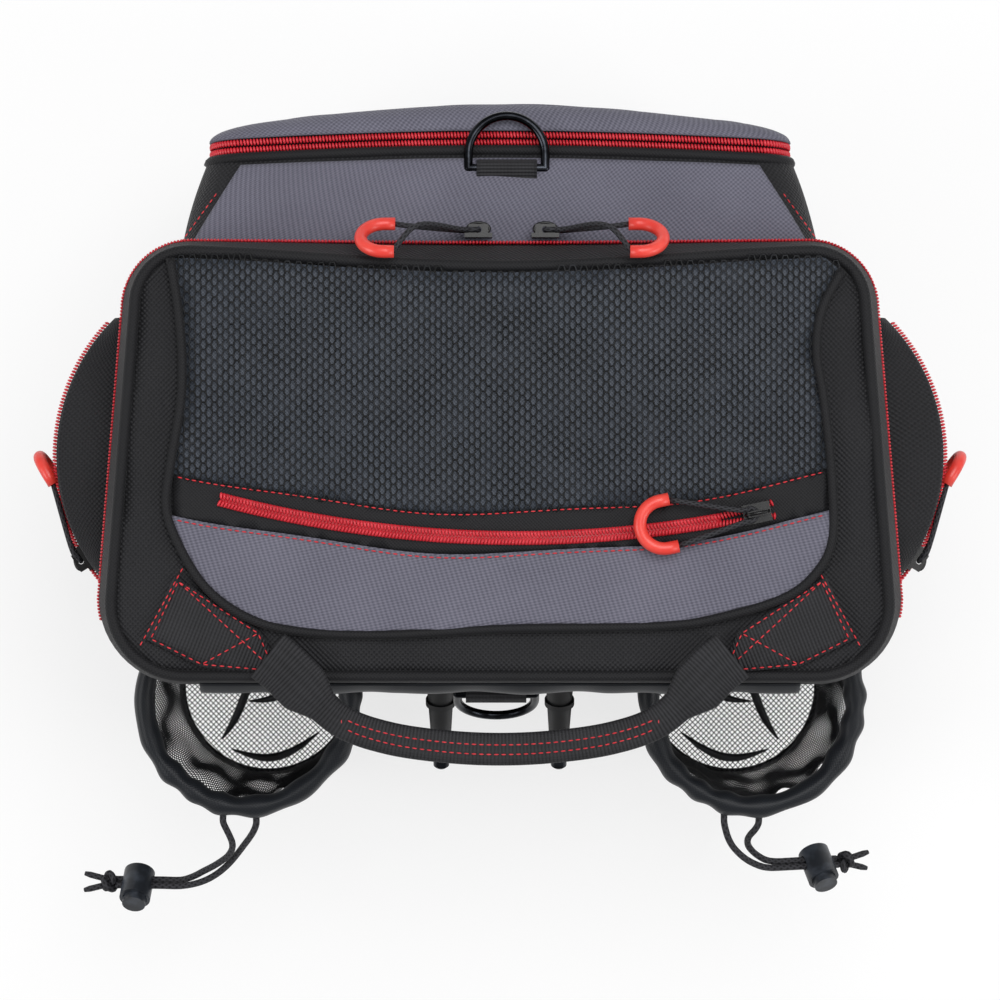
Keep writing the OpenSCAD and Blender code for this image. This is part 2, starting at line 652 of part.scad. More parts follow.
module cord(route) { color("#1e1e20") tube(route, cord_r, side_ref = [0.3, 0.2, -1]); }
module left_cord_a() { cord(left_route_a); }
module left_cord_b() { cord(left_route_b); }
module right_cord_a() { cord(right_route_a); }
module right_cord_b() { cord(right_route_b); }

// Each lock: its place, the way the cord runs through it, and the way its button faces
left_lock = [[-198, -228, 118], unit([-1, 0, -0.1]), [0, -1, 1]];
right_lock = [[172, -215.5, 132], unit([0.93, 0, -0.37]), [0.3, -0.74, 0.62]];
strand_off = 2.1;                             // each strand runs this far from the lock's middle
module at_lock(lock) {
    along = lock[1];
    up = unit(lock[2] - (lock[2] * along) * along);
    side = cross(up, along);
    multmatrix([for (i = [0 : 2]) [along[i], side[i], up[i], lock[0][i]]]) children();
}
lock_foot = -7;
lock_wall = 1.8;
lock_recess = 4.9;
button_stroke = 3;
lock_hole_r = cord_r + 0.4;
module lock_barrel() {
    color("#141416") difference() {
        translate([0, 0, lock_foot]) cylinder(h = lock_l, r = lock_r);
        translate([0, 0, lock_recess]) cylinder(h = far, r = lock_r - lock_wall);
        for (z = [-strand_off, strand_off])
            translate([-far, 0, z]) rotate([0, 90, 0]) cylinder(h = 2 * far, r = lock_hole_r);
        translate([-far, -lock_hole_r, -strand_off]) cube([2 * far, 2 * lock_hole_r, 2 * strand_off]);
    }
}
module lock_button() {
    z0 = lock_recess + button_stroke + 0.2;
    color("#26262a") translate([0, 0, z0]) cylinder(h = lock_foot + lock_l + 4 - z0, r = lock_r - lock_wall - gap);
}
module left_lock_barrel() { at_lock(left_lock) lock_barrel(); }
module left_lock_button() { at_lock(left_lock) lock_button(); }
module right_lock_barrel() { at_lock(right_lock) lock_barrel(); }
module right_lock_button() { at_lock(right_lock) lock_button(); }
knot_x = 12.6;                                // distance of the knot from the lock's middle
module cord_knots() {
    color("#1e1e20") for (lock = [left_lock, right_lock]) at_lock(lock) translate([knot_x, 0, 0]) {
        rotate([0, 90, 0]) cylinder(h = 9, r = 5.4);
        for (s = [-1, 1]) rod([8.5, 0, s * 2.2], [19, s * 3, s * 4], cord_r);
    }
}

rear_panel();
front_panel();
left_panel();
right_panel();
base_panel();
base_board();
feet();
main_zip_lower();
lid_panel();
lid_board();
lid_piping();
lid_inner_piping();
lid_mesh();
lid_pocket_panel();
lid_pocket_zip();
main_zip_upper();
handle_anchors();
handle_grip();
main_left_slider();
main_left_pull();
main_right_slider();
main_right_pull();
lid_pocket_slider();
lid_pocket_pull();
front_shoulder();
front_gusset();
front_flap();
front_zip_inner();
front_zip_outer();
front_slider();
front_pull();
ring_tabs();
front_ring();
rear_ring();
left_pocket_shell();
left_pocket_top();
left_zip_inner();
left_zip_outer();
left_slider();
left_pull();
right_pocket_shell();
right_pocket_top();
right_zip_inner();
right_zip_outer();
right_slider();
right_pull();
pegs();
peg_beads();
left_bottle_net();
right_bottle_net();
bottle_hems();
left_cord_a();
left_cord_b();
left_lock_barrel();
left_lock_button();
right_cord_a();
right_cord_b();
right_lock_barrel();
right_lock_button();
cord_knots();
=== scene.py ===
import bpy
import math
from mathutils import Matrix, Vector, noise
from mathutils.geometry import delaunay_2d_cdt
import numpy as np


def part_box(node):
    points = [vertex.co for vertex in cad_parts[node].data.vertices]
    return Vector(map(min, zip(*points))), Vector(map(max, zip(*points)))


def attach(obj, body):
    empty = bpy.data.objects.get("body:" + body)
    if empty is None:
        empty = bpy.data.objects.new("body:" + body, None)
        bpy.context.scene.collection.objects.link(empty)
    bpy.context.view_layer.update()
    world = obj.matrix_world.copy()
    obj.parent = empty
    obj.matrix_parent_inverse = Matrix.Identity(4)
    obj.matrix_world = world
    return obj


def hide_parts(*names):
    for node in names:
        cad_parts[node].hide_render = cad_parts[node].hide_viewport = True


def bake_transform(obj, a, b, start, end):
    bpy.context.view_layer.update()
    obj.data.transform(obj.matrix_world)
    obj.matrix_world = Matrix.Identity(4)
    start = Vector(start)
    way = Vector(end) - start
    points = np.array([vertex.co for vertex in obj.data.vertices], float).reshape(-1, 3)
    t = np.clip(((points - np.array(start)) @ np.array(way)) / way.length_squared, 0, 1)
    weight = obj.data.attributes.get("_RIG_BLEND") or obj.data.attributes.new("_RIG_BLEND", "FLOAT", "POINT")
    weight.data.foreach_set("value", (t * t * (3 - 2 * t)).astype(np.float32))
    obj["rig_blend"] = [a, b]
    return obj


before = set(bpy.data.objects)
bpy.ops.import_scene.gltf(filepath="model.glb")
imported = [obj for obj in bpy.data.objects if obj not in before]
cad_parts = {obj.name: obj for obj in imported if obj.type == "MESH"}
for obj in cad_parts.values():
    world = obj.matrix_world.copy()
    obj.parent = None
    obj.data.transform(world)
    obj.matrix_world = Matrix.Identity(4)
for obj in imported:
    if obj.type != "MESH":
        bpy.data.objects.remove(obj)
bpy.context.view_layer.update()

MM = 0.001

# ---------------------------------------------------------------- sizes, in millimetres
HALF_D = 114.0                    # half the depth of the main compartment
BASE_Z, WALL_Z, ZIP_Z = 13.0, 227.5, 232.0
LID_TOP = 254.0
REAR_W, FRONT_W = 205.0, 193.0    # half widths at the zip line
REAR_R, FRONT_R = 45.0, 36.0      # corner radii at the zip line
LID_BOW = 8.0                     # the lid's front edge bows in by this much
ZIP_STOP = -79.7                  # the main zip's coils end here, on both sides
COIL_W, COIL_T, TOOTH_PITCH = 3.6, 2.2, 1.7
POCKET_TOP = 256.2                # height of the cloth on the lid
ZIP_CENTRE, ZIP_R = (8.5, 543.0), 581.0
ZIP_ENDS = (-14.8, 12.9)          # the lid pocket's zip, in degrees from straight back
FRONT_W2, ROOT_W = 152.0, 166.0   # half widths of the front pocket at its zip and at its root
FRONT_Z = (30.0, 207.0)
ROOT_Z = (30.0, 222.0)
FRONT_ROOT_Y, FRONT_ZIP_Y, FRONT_FACE_Y = 108.0, 163.0, 184.0
FRONT_BOW = 5.0                   # the front pocket's zip bows out by this much
SIDE_MID, SIDE_R, SIDE_CX, SIDE_HALF = 4.0, 99.11, 130.93, 46.0
SIDE_LOW, SIDE_ZIP_Z, SIDE_TOP = 46.0, 192.0, 204.0
NET_X, NET_Y, NET_R, NET_LOW, NET_TOP, HEM_TOP = 134.0, -126.5, 57.0, 21.0, 157.0, 172.0
GRIP_R, PULL_CORD_R, BAIL_Z = 3.2, 1.4, 4.4

# The four ends of the two drawcords: from the bottle pockets' hems, through their locks, to the knots
CORD_D = 0.0036
ROUTES = {
    "left_cord_a": [
        (-0.147, -0.1856, 0.165), (-0.147, -0.190, 0.165), (-0.1455, -0.194, 0.163), (-0.144, -0.198, 0.160),
        (-0.143, -0.202, 0.156), (-0.1435, -0.206, 0.1515), (-0.146, -0.210, 0.146), (-0.150, -0.2135, 0.1405),
        (-0.155, -0.217, 0.135), (-0.161, -0.2205, 0.129), (-0.167, -0.224, 0.1235), (-0.174, -0.2265, 0.119),
        (-0.184, -0.2265, 0.118), (-0.194, -0.2265, 0.117), (-0.204, -0.2265, 0.116), (-0.210, -0.2265, 0.1154)],
    "left_cord_b": [
        (-0.1295, -0.1869, 0.165), (-0.1295, -0.191, 0.1645), (-0.131, -0.195, 0.1625), (-0.1335, -0.199, 0.1585),
        (-0.1365, -0.203, 0.153), (-0.1395, -0.207, 0.147), (-0.143, -0.2115, 0.1415), (-0.147, -0.216, 0.137),
        (-0.152, -0.2205, 0.133), (-0.158, -0.2245, 0.1295), (-0.165, -0.2275, 0.126), (-0.174, -0.2295, 0.122),
        (-0.184, -0.2295, 0.121), (-0.194, -0.2295, 0.120), (-0.204, -0.2295, 0.119), (-0.210, -0.2295, 0.1184)],
    "right_cord_a": [
        (0.119, -0.1852, 0.165), (0.119, -0.190, 0.165), (0.120, -0.1945, 0.1635), (0.1215, -0.199, 0.1615),
        (0.124, -0.2035, 0.159), (0.1275, -0.2075, 0.1565), (0.1315, -0.211, 0.1535), (0.136, -0.2138, 0.150),
        (0.1405, -0.2158, 0.147), (0.145, -0.2168, 0.1445), (0.1502, -0.217, 0.1422), (0.1595, -0.217, 0.1385),
        (0.1688, -0.217, 0.1348), (0.178, -0.217, 0.1311), (0.1837, -0.217, 0.1289)],
    "right_cord_b": [
        (0.1375, -0.1869, 0.165), (0.1372, -0.191, 0.1645), (0.1355, -0.1945, 0.162), (0.1335, -0.1975, 0.158),
        (0.1325, -0.2005, 0.1535), (0.133, -0.204, 0.1495), (0.1355, -0.2075, 0.1465), (0.139, -0.2105, 0.144),
        (0.1435, -0.213, 0.1418), (0.1492, -0.214, 0.1396), (0.1585, -0.214, 0.1359), (0.1678, -0.214, 0.1322),
        (0.1771, -0.214, 0.1285), (0.1827, -0.214, 0.1263)],
}


# ---------------------------------------------------------------- colour and nodes
def linear(hex_colour):
    """An sRGB hex colour as linear RGBA."""
    parts = [int(hex_colour[i:i + 2], 16) / 255 for i in (1, 3, 5)]
    return [c / 12.92 if c <= 0.04045 else ((c + 0.055) / 1.055) ** 2.4 for c in parts] + [1.0]


def add(tree, kind, *values, **named):
    """Adds a node. Values set or link its inputs in order; a capitalised name is an input, any other a setting."""
    node = tree.nodes.new(kind)
    for key, value in named.items():
        if key[0].islower():
            setattr(node, key, value)
    pairs = list(zip(node.inputs, values))
    pairs += [(node.inputs[key.replace("_", " ")], value) for key, value in named.items() if key[0].isupper()]
    for socket, value in pairs:
        if isinstance(value, bpy.types.NodeSocket):
            tree.links.new(value, socket)
        elif value is not None:
            socket.default_value = value
    return node.outputs


def new_material(name, **shader):
    """A Principled material whose plain values are set on its own sockets."""
    mat = bpy.data.materials.new(name)
    mat.use_nodes = True
    bsdf = mat.node_tree.nodes["Principled BSDF"]
    for key, value in shader.items():
        bsdf.inputs[key.replace("_", " ")].default_value = value
    return mat, mat.node_tree, bsdf


def finish_material(tree, bsdf, colours, shade, height, bump, depth_mm):
    """Mixes two colours by a shade, and raises the surface by a height."""
    mixed = add(tree, "ShaderNodeMixRGB", shade, linear(colours[0]), linear(colours[1]))[0]
    tree.links.new(mixed, bsdf.inputs["Base Color"])
    relief = add(tree, "ShaderNodeBump", Strength=bump, Distance=depth_mm * MM, Height=height)[0]
    tree.links.new(relief, bsdf.inputs["Normal"])


def woven(name, dark, light, thread_mm, rough=0.75, bump=0.5, sheen=0.25, slant=0.0, mottle=0.3):
    """Woven synthetic cloth: threads over and under on the UV map, fuzz, and dye that varies in patches; the colour is
    lighter on the thread crowns and darker between them, a painted highlight and painted shade.
    """
    mat, tree, bsdf = new_material(name, Roughness=rough, Sheen_Weight=sheen, Sheen_Roughness=0.45,
                                   IOR=1.5, Specular_IOR_Level=0.22)
    coords = add(tree, "ShaderNodeTexCoord")
    u, v, _ = add(tree, "ShaderNodeSeparateXYZ", coords["UV"])
    rate = math.pi / (thread_mm * MM)
    slanted = add(tree, "ShaderNodeMath", v, slant, u, operation="MULTIPLY_ADD")[0]
    warp_turn = add(tree, "ShaderNodeMath", slanted, rate, operation="MULTIPLY")[0]
    weft_turn = add(tree, "ShaderNodeMath", v, rate, operation="MULTIPLY")[0]
    warp = add(tree, "ShaderNodeMath", warp_turn, operation="SINE")[0]
    weft = add(tree, "ShaderNodeMath", weft_turn, operation="SINE")[0]
    crossing = add(tree, "ShaderNodeMath", warp, weft, operation="MULTIPLY")[0]
    weave = add(tree, "ShaderNodeMath", crossing, 0.5, 0.5, operation="MULTIPLY_ADD")[0]
    fuzz = add(tree, "ShaderNodeTexNoise", coords["Object"], None, 1100.0, 2.0)[0]
    patches = add(tree, "ShaderNodeTexNoise", coords["Object"], None, 24.0, 4.0)[0]
    # Painted highlight and shade: the weave's relief also sets the colour, lighter on the thread crowns and darker in
    # the dips between them
    shade = add(tree, "ShaderNodeMath", weave, 0.9 - mottle, 0.0, operation="MULTIPLY_ADD")[0]
    shade = add(tree, "ShaderNodeMath", patches, mottle, shade, operation="MULTIPLY_ADD")[0]
    shade = add(tree, "ShaderNodeMath", fuzz, 0.25, shade, operation="MULTIPLY_ADD")[0]
    height = add(tree, "ShaderNodeMath", fuzz, 0.3, weave, operation="MULTIPLY_ADD")[0]
    finish_material(tree, bsdf, (dark, light), shade, height, bump, thread_mm * 0.5)
    return mat


def ribbed(name, dark, light, rib_mm):
    """Webbing: ribs across the strap, which follow V, crossed by the fine yarns along it."""
    mat, tree, bsdf = new_material(name, Roughness=0.6, Sheen_Weight=0.03, Sheen_Roughness=0.4, IOR=1.5,
                                   Specular_IOR_Level=0.25)
    coords = add(tree, "ShaderNodeTexCoord")
    u, v, _ = add(tree, "ShaderNodeSeparateXYZ", coords["UV"])
    rib_turn = add(tree, "ShaderNodeMath", v, math.pi / (rib_mm * MM), operation="MULTIPLY")[0]
    rib = add(tree, "ShaderNodeMath", rib_turn, operation="SINE")[0]
    rib = add(tree, "ShaderNodeMath", rib, operation="ABSOLUTE")[0]
    yarn_turn = add(tree, "ShaderNodeMath", u, math.pi / (0.9 * MM), operation="MULTIPLY")[0]
    yarn = add(tree, "ShaderNodeMath", yarn_turn, operation="SINE")[0]
    height = add(tree, "ShaderNodeMath", yarn, 0.12, rib, operation="MULTIPLY_ADD")[0]
    patches = add(tree, "ShaderNodeTexNoise", coords["Object"], None, 60.0, 3.0)[0]
    # Painted highlight and shade: the colour follows the relief, lighter on the rib crowns and darker between them; the
    # patches are random tone
    shade = add(tree, "ShaderNodeMath", patches, 0.6, operation="MULTIPLY")[0]
    shade = add(tree, "ShaderNodeMath", height, 0.55, shade, operation="MULTIPLY_ADD")[0]
    finish_material(tree, bsdf, (dark, light), shade, height, 0.8, 0.5)
    return mat


def moulded(name, base, worn, rough, bump=0.1, **shader):
    """Moulded, spun, plated or painted: a fine grain in gloss and relief, and wear in lighter patches."""
    mat, tree, bsdf = new_material(name, **shader)
    position = add(tree, "ShaderNodeTexCoord")["Object"]
    grain = add(tree, "ShaderNodeTexNoise", position, None, 1600.0, 3.0)[0]
    wear = add(tree, "ShaderNodeTexNoise", position, None, 90.0, 5.0)[0]
    shade = add(tree, "ShaderNodeMapRange", wear, 0.45, 0.75, 0.0, 0.8)[0]
    gloss = add(tree, "ShaderNodeMath", grain, 0.2, rough - 0.1, operation="MULTIPLY_ADD")[0]
    tree.links.new(gloss, bsdf.inputs["Roughness"])
    finish_material(tree, bsdf, (base, worn), shade, grain, bump, 0.2)
    return mat


def braided(name, dark, light, pick_mm):
    """Braided cord: two sets of strands that cross, with U once round the cord and V along it in metres."""
    mat, tree, bsdf = new_material(name, Roughness=0.6, Specular_IOR_Level=0.25)
    u, v, _ = add(tree, "ShaderNodeSeparateXYZ", add(tree, "ShaderNodeTexCoord")["UV"])
    turn = add(tree, "ShaderNodeMath", u, 8 * math.pi, operation="MULTIPLY")[0]
    run = add(tree, "ShaderNodeMath", v, math.pi / (pick_mm * MM), operation="MULTIPLY")[0]
    strands = []
    for way in ("ADD", "SUBTRACT"):
        slope = add(tree, "ShaderNodeMath", turn, run, operation=way)[0]
        strands.append(add(tree, "ShaderNodeMath", slope, operation="SINE")[0])
    top = add(tree, "ShaderNodeMath", strands[0], strands[1], operation="MAXIMUM")[0]
    height = add(tree, "ShaderNodeMath", top, 0.5, 0.5, operation="MULTIPLY_ADD")[0]
    # Painted highlight and shade: the colour follows the height, lighter on the strand crowns and darker where they
    # cross under
    finish_material(tree, bsdf, (dark, light), height, height, 0.8, 0.4)
    return mat


# Ballistic nylon: coarse black basket weave, matt, greyer where its threads catch the light
NYLON = woven("ballistic_nylon", "#060607", "#29292C", 1.3, rough=0.6, bump=0.9, sheen=0.04)
# Grey polyester canvas: bluish grey, with a painted highlight on its thread crowns and painted shade between them
POLYESTER = woven("grey_polyester", "#35343F", "#787785", 1.3, rough=0.7, bump=0.6, sheen=0.06, slant=0.5)
# Coated lining: smooth dark blue-black cloth
LINING = woven("coated_lining", "#23272E", "#565C66", 0.9, rough=0.5, bump=0.3, sheen=0.04)
# Zip tape and binding: fine black polyester, closely woven
TAPE = woven("zip_tape", "#060607", "#1E1E21", 0.9, rough=0.6, bump=0.5, sheen=0.04)
# Hem cloth: thin smooth black nylon with a soft shine
HEM = woven("hem_nylon", "#0B0C0F", "#24272C", 0.8, rough=0.4, bump=0.25, sheen=0.05)
# Knitted net: black monofilament, slightly glossy
NET = moulded("net_monofilament", "#0B0C0E", "#2A2C31", 0.5, bump=0.2, IOR=1.5, Specular_IOR_Level=0.3)
# Nylon webbing: ribbed across, black
WEBBING = ribbed("nylon_webbing", "#050506", "#2C2C2F", 1.8)
# Zip coil: moulded polyester, red and satin
COIL = moulded("coil_polyester", "#BD1828", "#D8323F", 0.38, bump=0.15, IOR=1.5)
# Sewing thread: bonded polyester, bright red
THREAD = moulded("bonded_thread", "#C3202C", "#DB3F46", 0.6, bump=0.2)
# Soft tube of the pulls: bright red PVC, satin
PVC = moulded("red_pvc", "#DC3A30", "#EC5448", 0.36, bump=0.06, IOR=1.52)
# Drawcord: black braided polyester
BRAID = braided("braided_polyester", "#050506", "#323236", 2.0)
# Painted zinc: glossy black enamel
ENAMEL = moulded("black_enamel", "#040405", "#0E0F11", 0.3, bump=0.05, IOR=1.45,
                 Specular_IOR_Level=0.3, Coat_Weight=0.15, Coat_Roughness=0.12)
# Acetal of the cord locks: moulded, grey-black, semi-gloss
ACETAL = moulded("moulded_acetal", "#1D2025", "#4A505A", 0.38, bump=0.1, IOR=1.48)
# Rubber: matt black, moulded
RUBBER = moulded("moulded_rubber", "#08080A", "#1A1A1D", 0.45, bump=0.25, IOR=1.5)
# Gunmetal plate on steel: dark and bright
GUNMETAL = moulded("gunmetal_plate", "#17181B", "#3E4147", 0.2, bump=0.08, Metallic=1.0)
# Foam board: matt dark grey
BOARD = moulded("foam_board", "#2A2B30", "#3C3D43", 0.8, bump=0.4)


# ---------------------------------------------------------------- shapes
def make_piece(name, points, faces, corner_uvs, material, body, inner=None):
    """A smooth piece from points in mm and faces, with a UV for each corner, that rides on a body."""
    mesh = bpy.data.meshes.new(name)
    mesh.from_pydata([tuple(c * MM for c in p) for p in points], [], faces)
    layer = mesh.uv_layers.new(name="UVMap")
    layer.data.foreach_set("uv", [c for face in corner_uvs for uv in face for c in uv])
    mesh.materials.append(material)
    if inner:
        mesh.materials.append(inner)
    mesh.shade_smooth()
    piece = bpy.data.objects.new(name, mesh)
    bpy.context.collection.objects.link(piece)
    if body:
        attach(piece, body)
    return piece


def thicken(piece, thickness, offset=-1.0, inner=False):
    """Gives a skin its wall, inwards by default, with another material inside if it has one."""
    wall = piece.modifiers.new("wall", "SOLIDIFY")
    wall.thickness = thickness * MM
    wall.offset = offset
    wall.material_offset = 1 if inner else 0
    return piece


def arc(cx, cy, r, start, end, n):
    """n + 1 points on an arc, in degrees."""
    turns = [math.radians(start + (end - start) * i / n) for i in range(n + 1)]
    return [(cx + r * math.cos(a), cy + r * math.sin(a)) for a in turns]


def running(points):
    """Running length at each point."""
    out = [0.0]
    for a, b in zip(points, points[1:]):
        out.append(out[-1] + math.dist(a, b))
    return out


def resample(points, count, closed=False):
    """Points at equal spacing along a line, or round a closed one."""
    line = list(points) + ([points[0]] if closed else [])
    run, out, k = running(line), [], 0
    for i in range(count):
        target = run[-1] * i / (count if closed else count - 1)
        while k < len(run) - 2 and run[k + 1] < target:
            k += 1
        t = (target - run[k]) / max(run[k + 1] - run[k], 1e-9)
        out.append(tuple(a + (b - a) * t for a, b in zip(line[k], line[k + 1])))
    return out


def curve_through(points, per=6, closed=False):
    """A smooth curve through the points."""
    p, n, out = [Vector(q) for q in points], len(points), []
    for i in range(n if closed else n - 1):
        a = p[(i - 1) % n] if closed or i else p[i] * 2 - p[i + 1]
        b, c = p[i], p[(i + 1) % n]
        d = p[(i + 2) % n] if closed or i < n - 2 else c * 2 - b
        for k in range(per):
            t = k / per
            bend = (2 * a - 5 * b + 4 * c - d) * t * t + (3 * b - a - 3 * c + d) * t ** 3
            out.append(tuple(0.5 * (2 * b + (c - a) * t + bend)))
    return out if closed else out + [tuple(p[-1])]


def crease(p, size, amount):
    """How far a soft fold stands out at a point, in mm."""
    return amount * noise.noise(Vector(p) / size)


def plan(side=0.0, front=0.0, rear=0.0, bow=0.0, count=240):
    """The bag's outline from above, taken in at the sides, front and rear, its front edge bowed in."""
    wr, wf, y0, y1 = REAR_W - side, FRONT_W - side, -HALF_D + rear, HALF_D - front
    rr, rf = REAR_R - (side + rear) / 2, FRONT_R - (side + front) / 2
    corners = (arc(wf - rf, y1 - rf, rf, 0, 90, 12) + arc(-wf + rf, y1 - rf, rf, 90, 180, 12)
               + arc(-wr + rr, y0 + rr, rr, 180, 270, 12) + arc(wr - rr, y0 + rr, rr, 270, 360, 12))
    return [(x, y - bow * math.cos(math.pi * x / wf / 2) ** 2 * (y > 0)) for x, y in resample(corners, count, True)]


def loft(name, rings, material, body, closed=True, inner=None):
    """A skin over rings of equal count, with U round it and V along it in metres."""
    n = len(rings[0])
    wide = running(rings[len(rings) // 2] + rings[len(rings) // 2][:1])
    high = running([ring[n // 4] for ring in rings])
    points, faces, uvs = [p for ring in rings for p in ring], [], []
    for k in range(len(rings) - 1):
        for i in range(n if closed else n - 1):
            j = (i + 1) % n
            faces.append((k * n + i, k * n + j, (k + 1) * n + j, (k + 1) * n + i))
            uvs.append([(wide[a] * MM, high[b] * MM) for a, b in ((i, k), (i + 1, k), (i + 1, k + 1), (i, k + 1))])
    return make_piece(name, points, faces, uvs, material, body, inner)


def surface(name, place, nu, nv, material, body, inner=None):
    """An open skin from a function of two shares, each from 0 to 1."""
    rings = [[tuple(place(i / (nu - 1), j / (nv - 1))) for i in range(nu)] for j in range(nv)]
    return loft(name, rings, material, body, closed=False, inner=inner)


def inside(x, y, outline):
    """Whether a point lies inside an outline."""
    hit = False
    for (ax, ay), (bx, by) in zip(outline, outline[1:] + outline[:1]):
        if (ay > y) != (by > y) and x < ax + (bx - ax) * (y - ay) / (by - ay):
            hit = not hit
    return hit


def plate(name, outline, place, spacing, material, body, uv=lambda a, b: (a, b), facing=1):
    """Cloth that fills an outline. place turns each of its points into one in space, and facing its front over."""
    low = [min(p[k] for p in outline) for k in (0, 1)]
    high = [max(p[k] for p in outline) for k in (0, 1)]
    flat = [Vector(p) for p in outline]
    for i in range(1, int((high[0] - low[0]) / spacing) + 1):
        for j in range(1, int((high[1] - low[1]) / spacing) + 1):
            x, y = low[0] + i * spacing, low[1] + j * spacing
            if inside(x, y, outline) and min(math.hypot(x - a, y - b) for a, b in outline) > spacing * 0.6:
                flat.append(Vector((x, y)))
    n = len(outline)
    edges = [(i, (i + 1) % n) for i in range(n)]
    points, _, faces, _, _, _ = delaunay_2d_cdt(flat, edges, [], 1, 1e-5)
    faces = [f if (points[f[1]] - points[f[0]]).cross(points[f[2]] - points[f[0]]) * facing > 0 else f[::-1]
             for f in faces]
    uvs = [[tuple(c * MM for c in uv(points[i].x, points[i].y)) for i in face] for face in faces]
    return make_piece(name, [place(p.x, p.y) for p in points], faces, uvs, material, body)


def swept(path, section, up=(0, 0, 1), closed=False):
    """Rings of a section carried along a path; section gives offsets across and up for a share of the way."""
    path, n, rings = [Vector(p) for p in path], len(path), []
    side = None
    for i, p in enumerate(path):
        before = path[(i - 1) % n] if closed or i else p
        after = path[(i + 1) % n] if closed or i < n - 1 else p
        along = (after - before).normalized()
        if side is None:
            side = along.cross(Vector(up))
        side = (side - along * side.dot(along)).normalized()
        top = side.cross(along)
        rings.append([tuple(p + side * a + top * b) for a, b in section(i / (n - 1))])
    return rings


def round_section(r, sides):
    """The section of a round tube, for swept(); r is a number or a function of the share of the way."""
    def at(t):
        size = r(t) if callable(r) else r
        return arc(0, 0, size, 0, -360 * (1 - 1 / sides), sides - 1)
    return at


def tube(name, path, r, material, body, sides=12, up=(0, 0, 1), closed=False):
    """A round tube along a path. V runs along it in metres, and U round it: once for a braid, in metres for cloth."""
    round_u = 2 * math.pi * r * MM if material is TAPE else 1.0
    rings, run = swept(path, round_section(r, sides), up, closed), running(list(path) + [path[0]])
    count, points, faces, uvs = len(rings), [p for ring in rings for p in ring], [], []
    for k in range(count if closed else count - 1):
        for i in range(sides):
            j, m = (i + 1) % sides, (k + 1) % count
            faces.append((k * sides + i, k * sides + j, m * sides + j, m * sides + i))
            uvs.append([(a / sides * round_u, run[b] * MM) for a, b in ((i, k), (i + 1, k), (i + 1, k + 1), (i, k + 1))])
    if not closed:
        last = (count - 1) * sides
        faces += [tuple(reversed(range(sides))), tuple(last + i for i in range(sides))]
        uvs += [[(0.0, 0.0)] * sides, [(0.0, run[-2] * MM)] * sides]
    return make_piece(name, points, faces, uvs, material, body)


# ---------------------------------------------------------------- what repeats, in Geometry Nodes
def node_tree(name, sizes):
    """A Geometry Nodes tree with a geometry input and a named input for each size, in metres or a count."""
    tree = bpy.data.node_groups.new(name, "GeometryNodeTree")
    tree.interface.new_socket("Geometry", in_out="INPUT", socket_type="NodeSocketGeometry")
    tree.interface.new_socket("Geometry", in_out="OUTPUT", socket_type="NodeSocketGeometry")
    for key in sizes:
        tree.interface.new_socket(key, in_out="INPUT", socket_type="NodeSocketFloat")
    return tree, add(tree, "NodeGroupInput")


def close_tree(tree, geometry, material):
    """Ends a tree in real, smooth, finished geometry."""
    real = add(tree, "GeometryNodeRealizeInstances", geometry)[0]
    smooth = add(tree, "GeometryNodeSetShadeSmooth", real)[0]
    done = add(tree, "GeometryNodeSetMaterial", smooth, Material=material)[0]
    add(tree, "NodeGroupOutput", done)


def grown(name, mesh, tree, sizes, body):
    """Runs a tree on a mesh with these sizes in mm and keeps the result as a plain piece."""
    seed = bpy.data.objects.new(name + "_seed", mesh)
    bpy.context.collection.objects.link(seed)
    modifier = seed.modifiers.new("grow", "NODES")
    modifier.node_group = tree
    for item in tree.interface.items_tree:
        if item.in_out == "INPUT" and item.name in sizes:
            modifier[item.identifier] = sizes[item.name] * MM
    result = bpy.data.meshes.new_from_object(seed.evaluated_get(bpy.context.evaluated_depsgraph_get()))
    bpy.data.objects.remove(seed)
    for attribute in [a for a in result.attributes if a.name in ("along", "up")]:
        result.attributes.remove(attribute)
    result.name = name
    piece = bpy.data.objects.new(name, result)
    bpy.context.collection.objects.link(piece)
    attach(piece, body)
    return piece


def spots_mesh(name, spots):
    """Points in mm that carry the directions in which what stands on them lies."""
    mesh = bpy.data.meshes.new(name)
    mesh.from_pydata([tuple(c * MM for c in p) for p, _, _ in spots], [], [])
    for k, key in ((1, "along"), (2, "up")):
        layer = mesh.attributes.new(key, "FLOAT_VECTOR", "POINT")
        layer.data.foreach_set("vector", [c for spot in spots for c in spot[k]])
    return mesh


def stand_on_spots(tree, points, shape):
    """Puts the shape on each point, with its X along and its Z up."""
    ways = [add(tree, "GeometryNodeInputNamedAttribute", key, data_type="FLOAT_VECTOR")[0] for key in ("along", "up")]
    turned = add(tree, "FunctionNodeAxesToRotation", ways[0], ways[1], primary_axis="X", secondary_axis="Z")[0]
    return add(tree, "GeometryNodeInstanceOnPoints", points, Instance=shape, Rotation=turned)[0]


def rounded_parts(name, spots, sizes, material, body):
    """Rounded parts, such as stitches and coil teeth, one on each spot."""
    tree, given = node_tree(name, sizes)
    ball = add(tree, "GeometryNodeMeshUVSphere", 8, 4, 0.5)[0]
    size = add(tree, "ShaderNodeCombineXYZ", given["Length"], given["Width"], given["Height"])[0]
    shape = add(tree, "GeometryNodeTransform", ball, Scale=size)[0]
    close_tree(tree, stand_on_spots(tree, given["Geometry"], shape), material)
    return grown(name, spots_mesh(name, spots), tree, sizes, body)


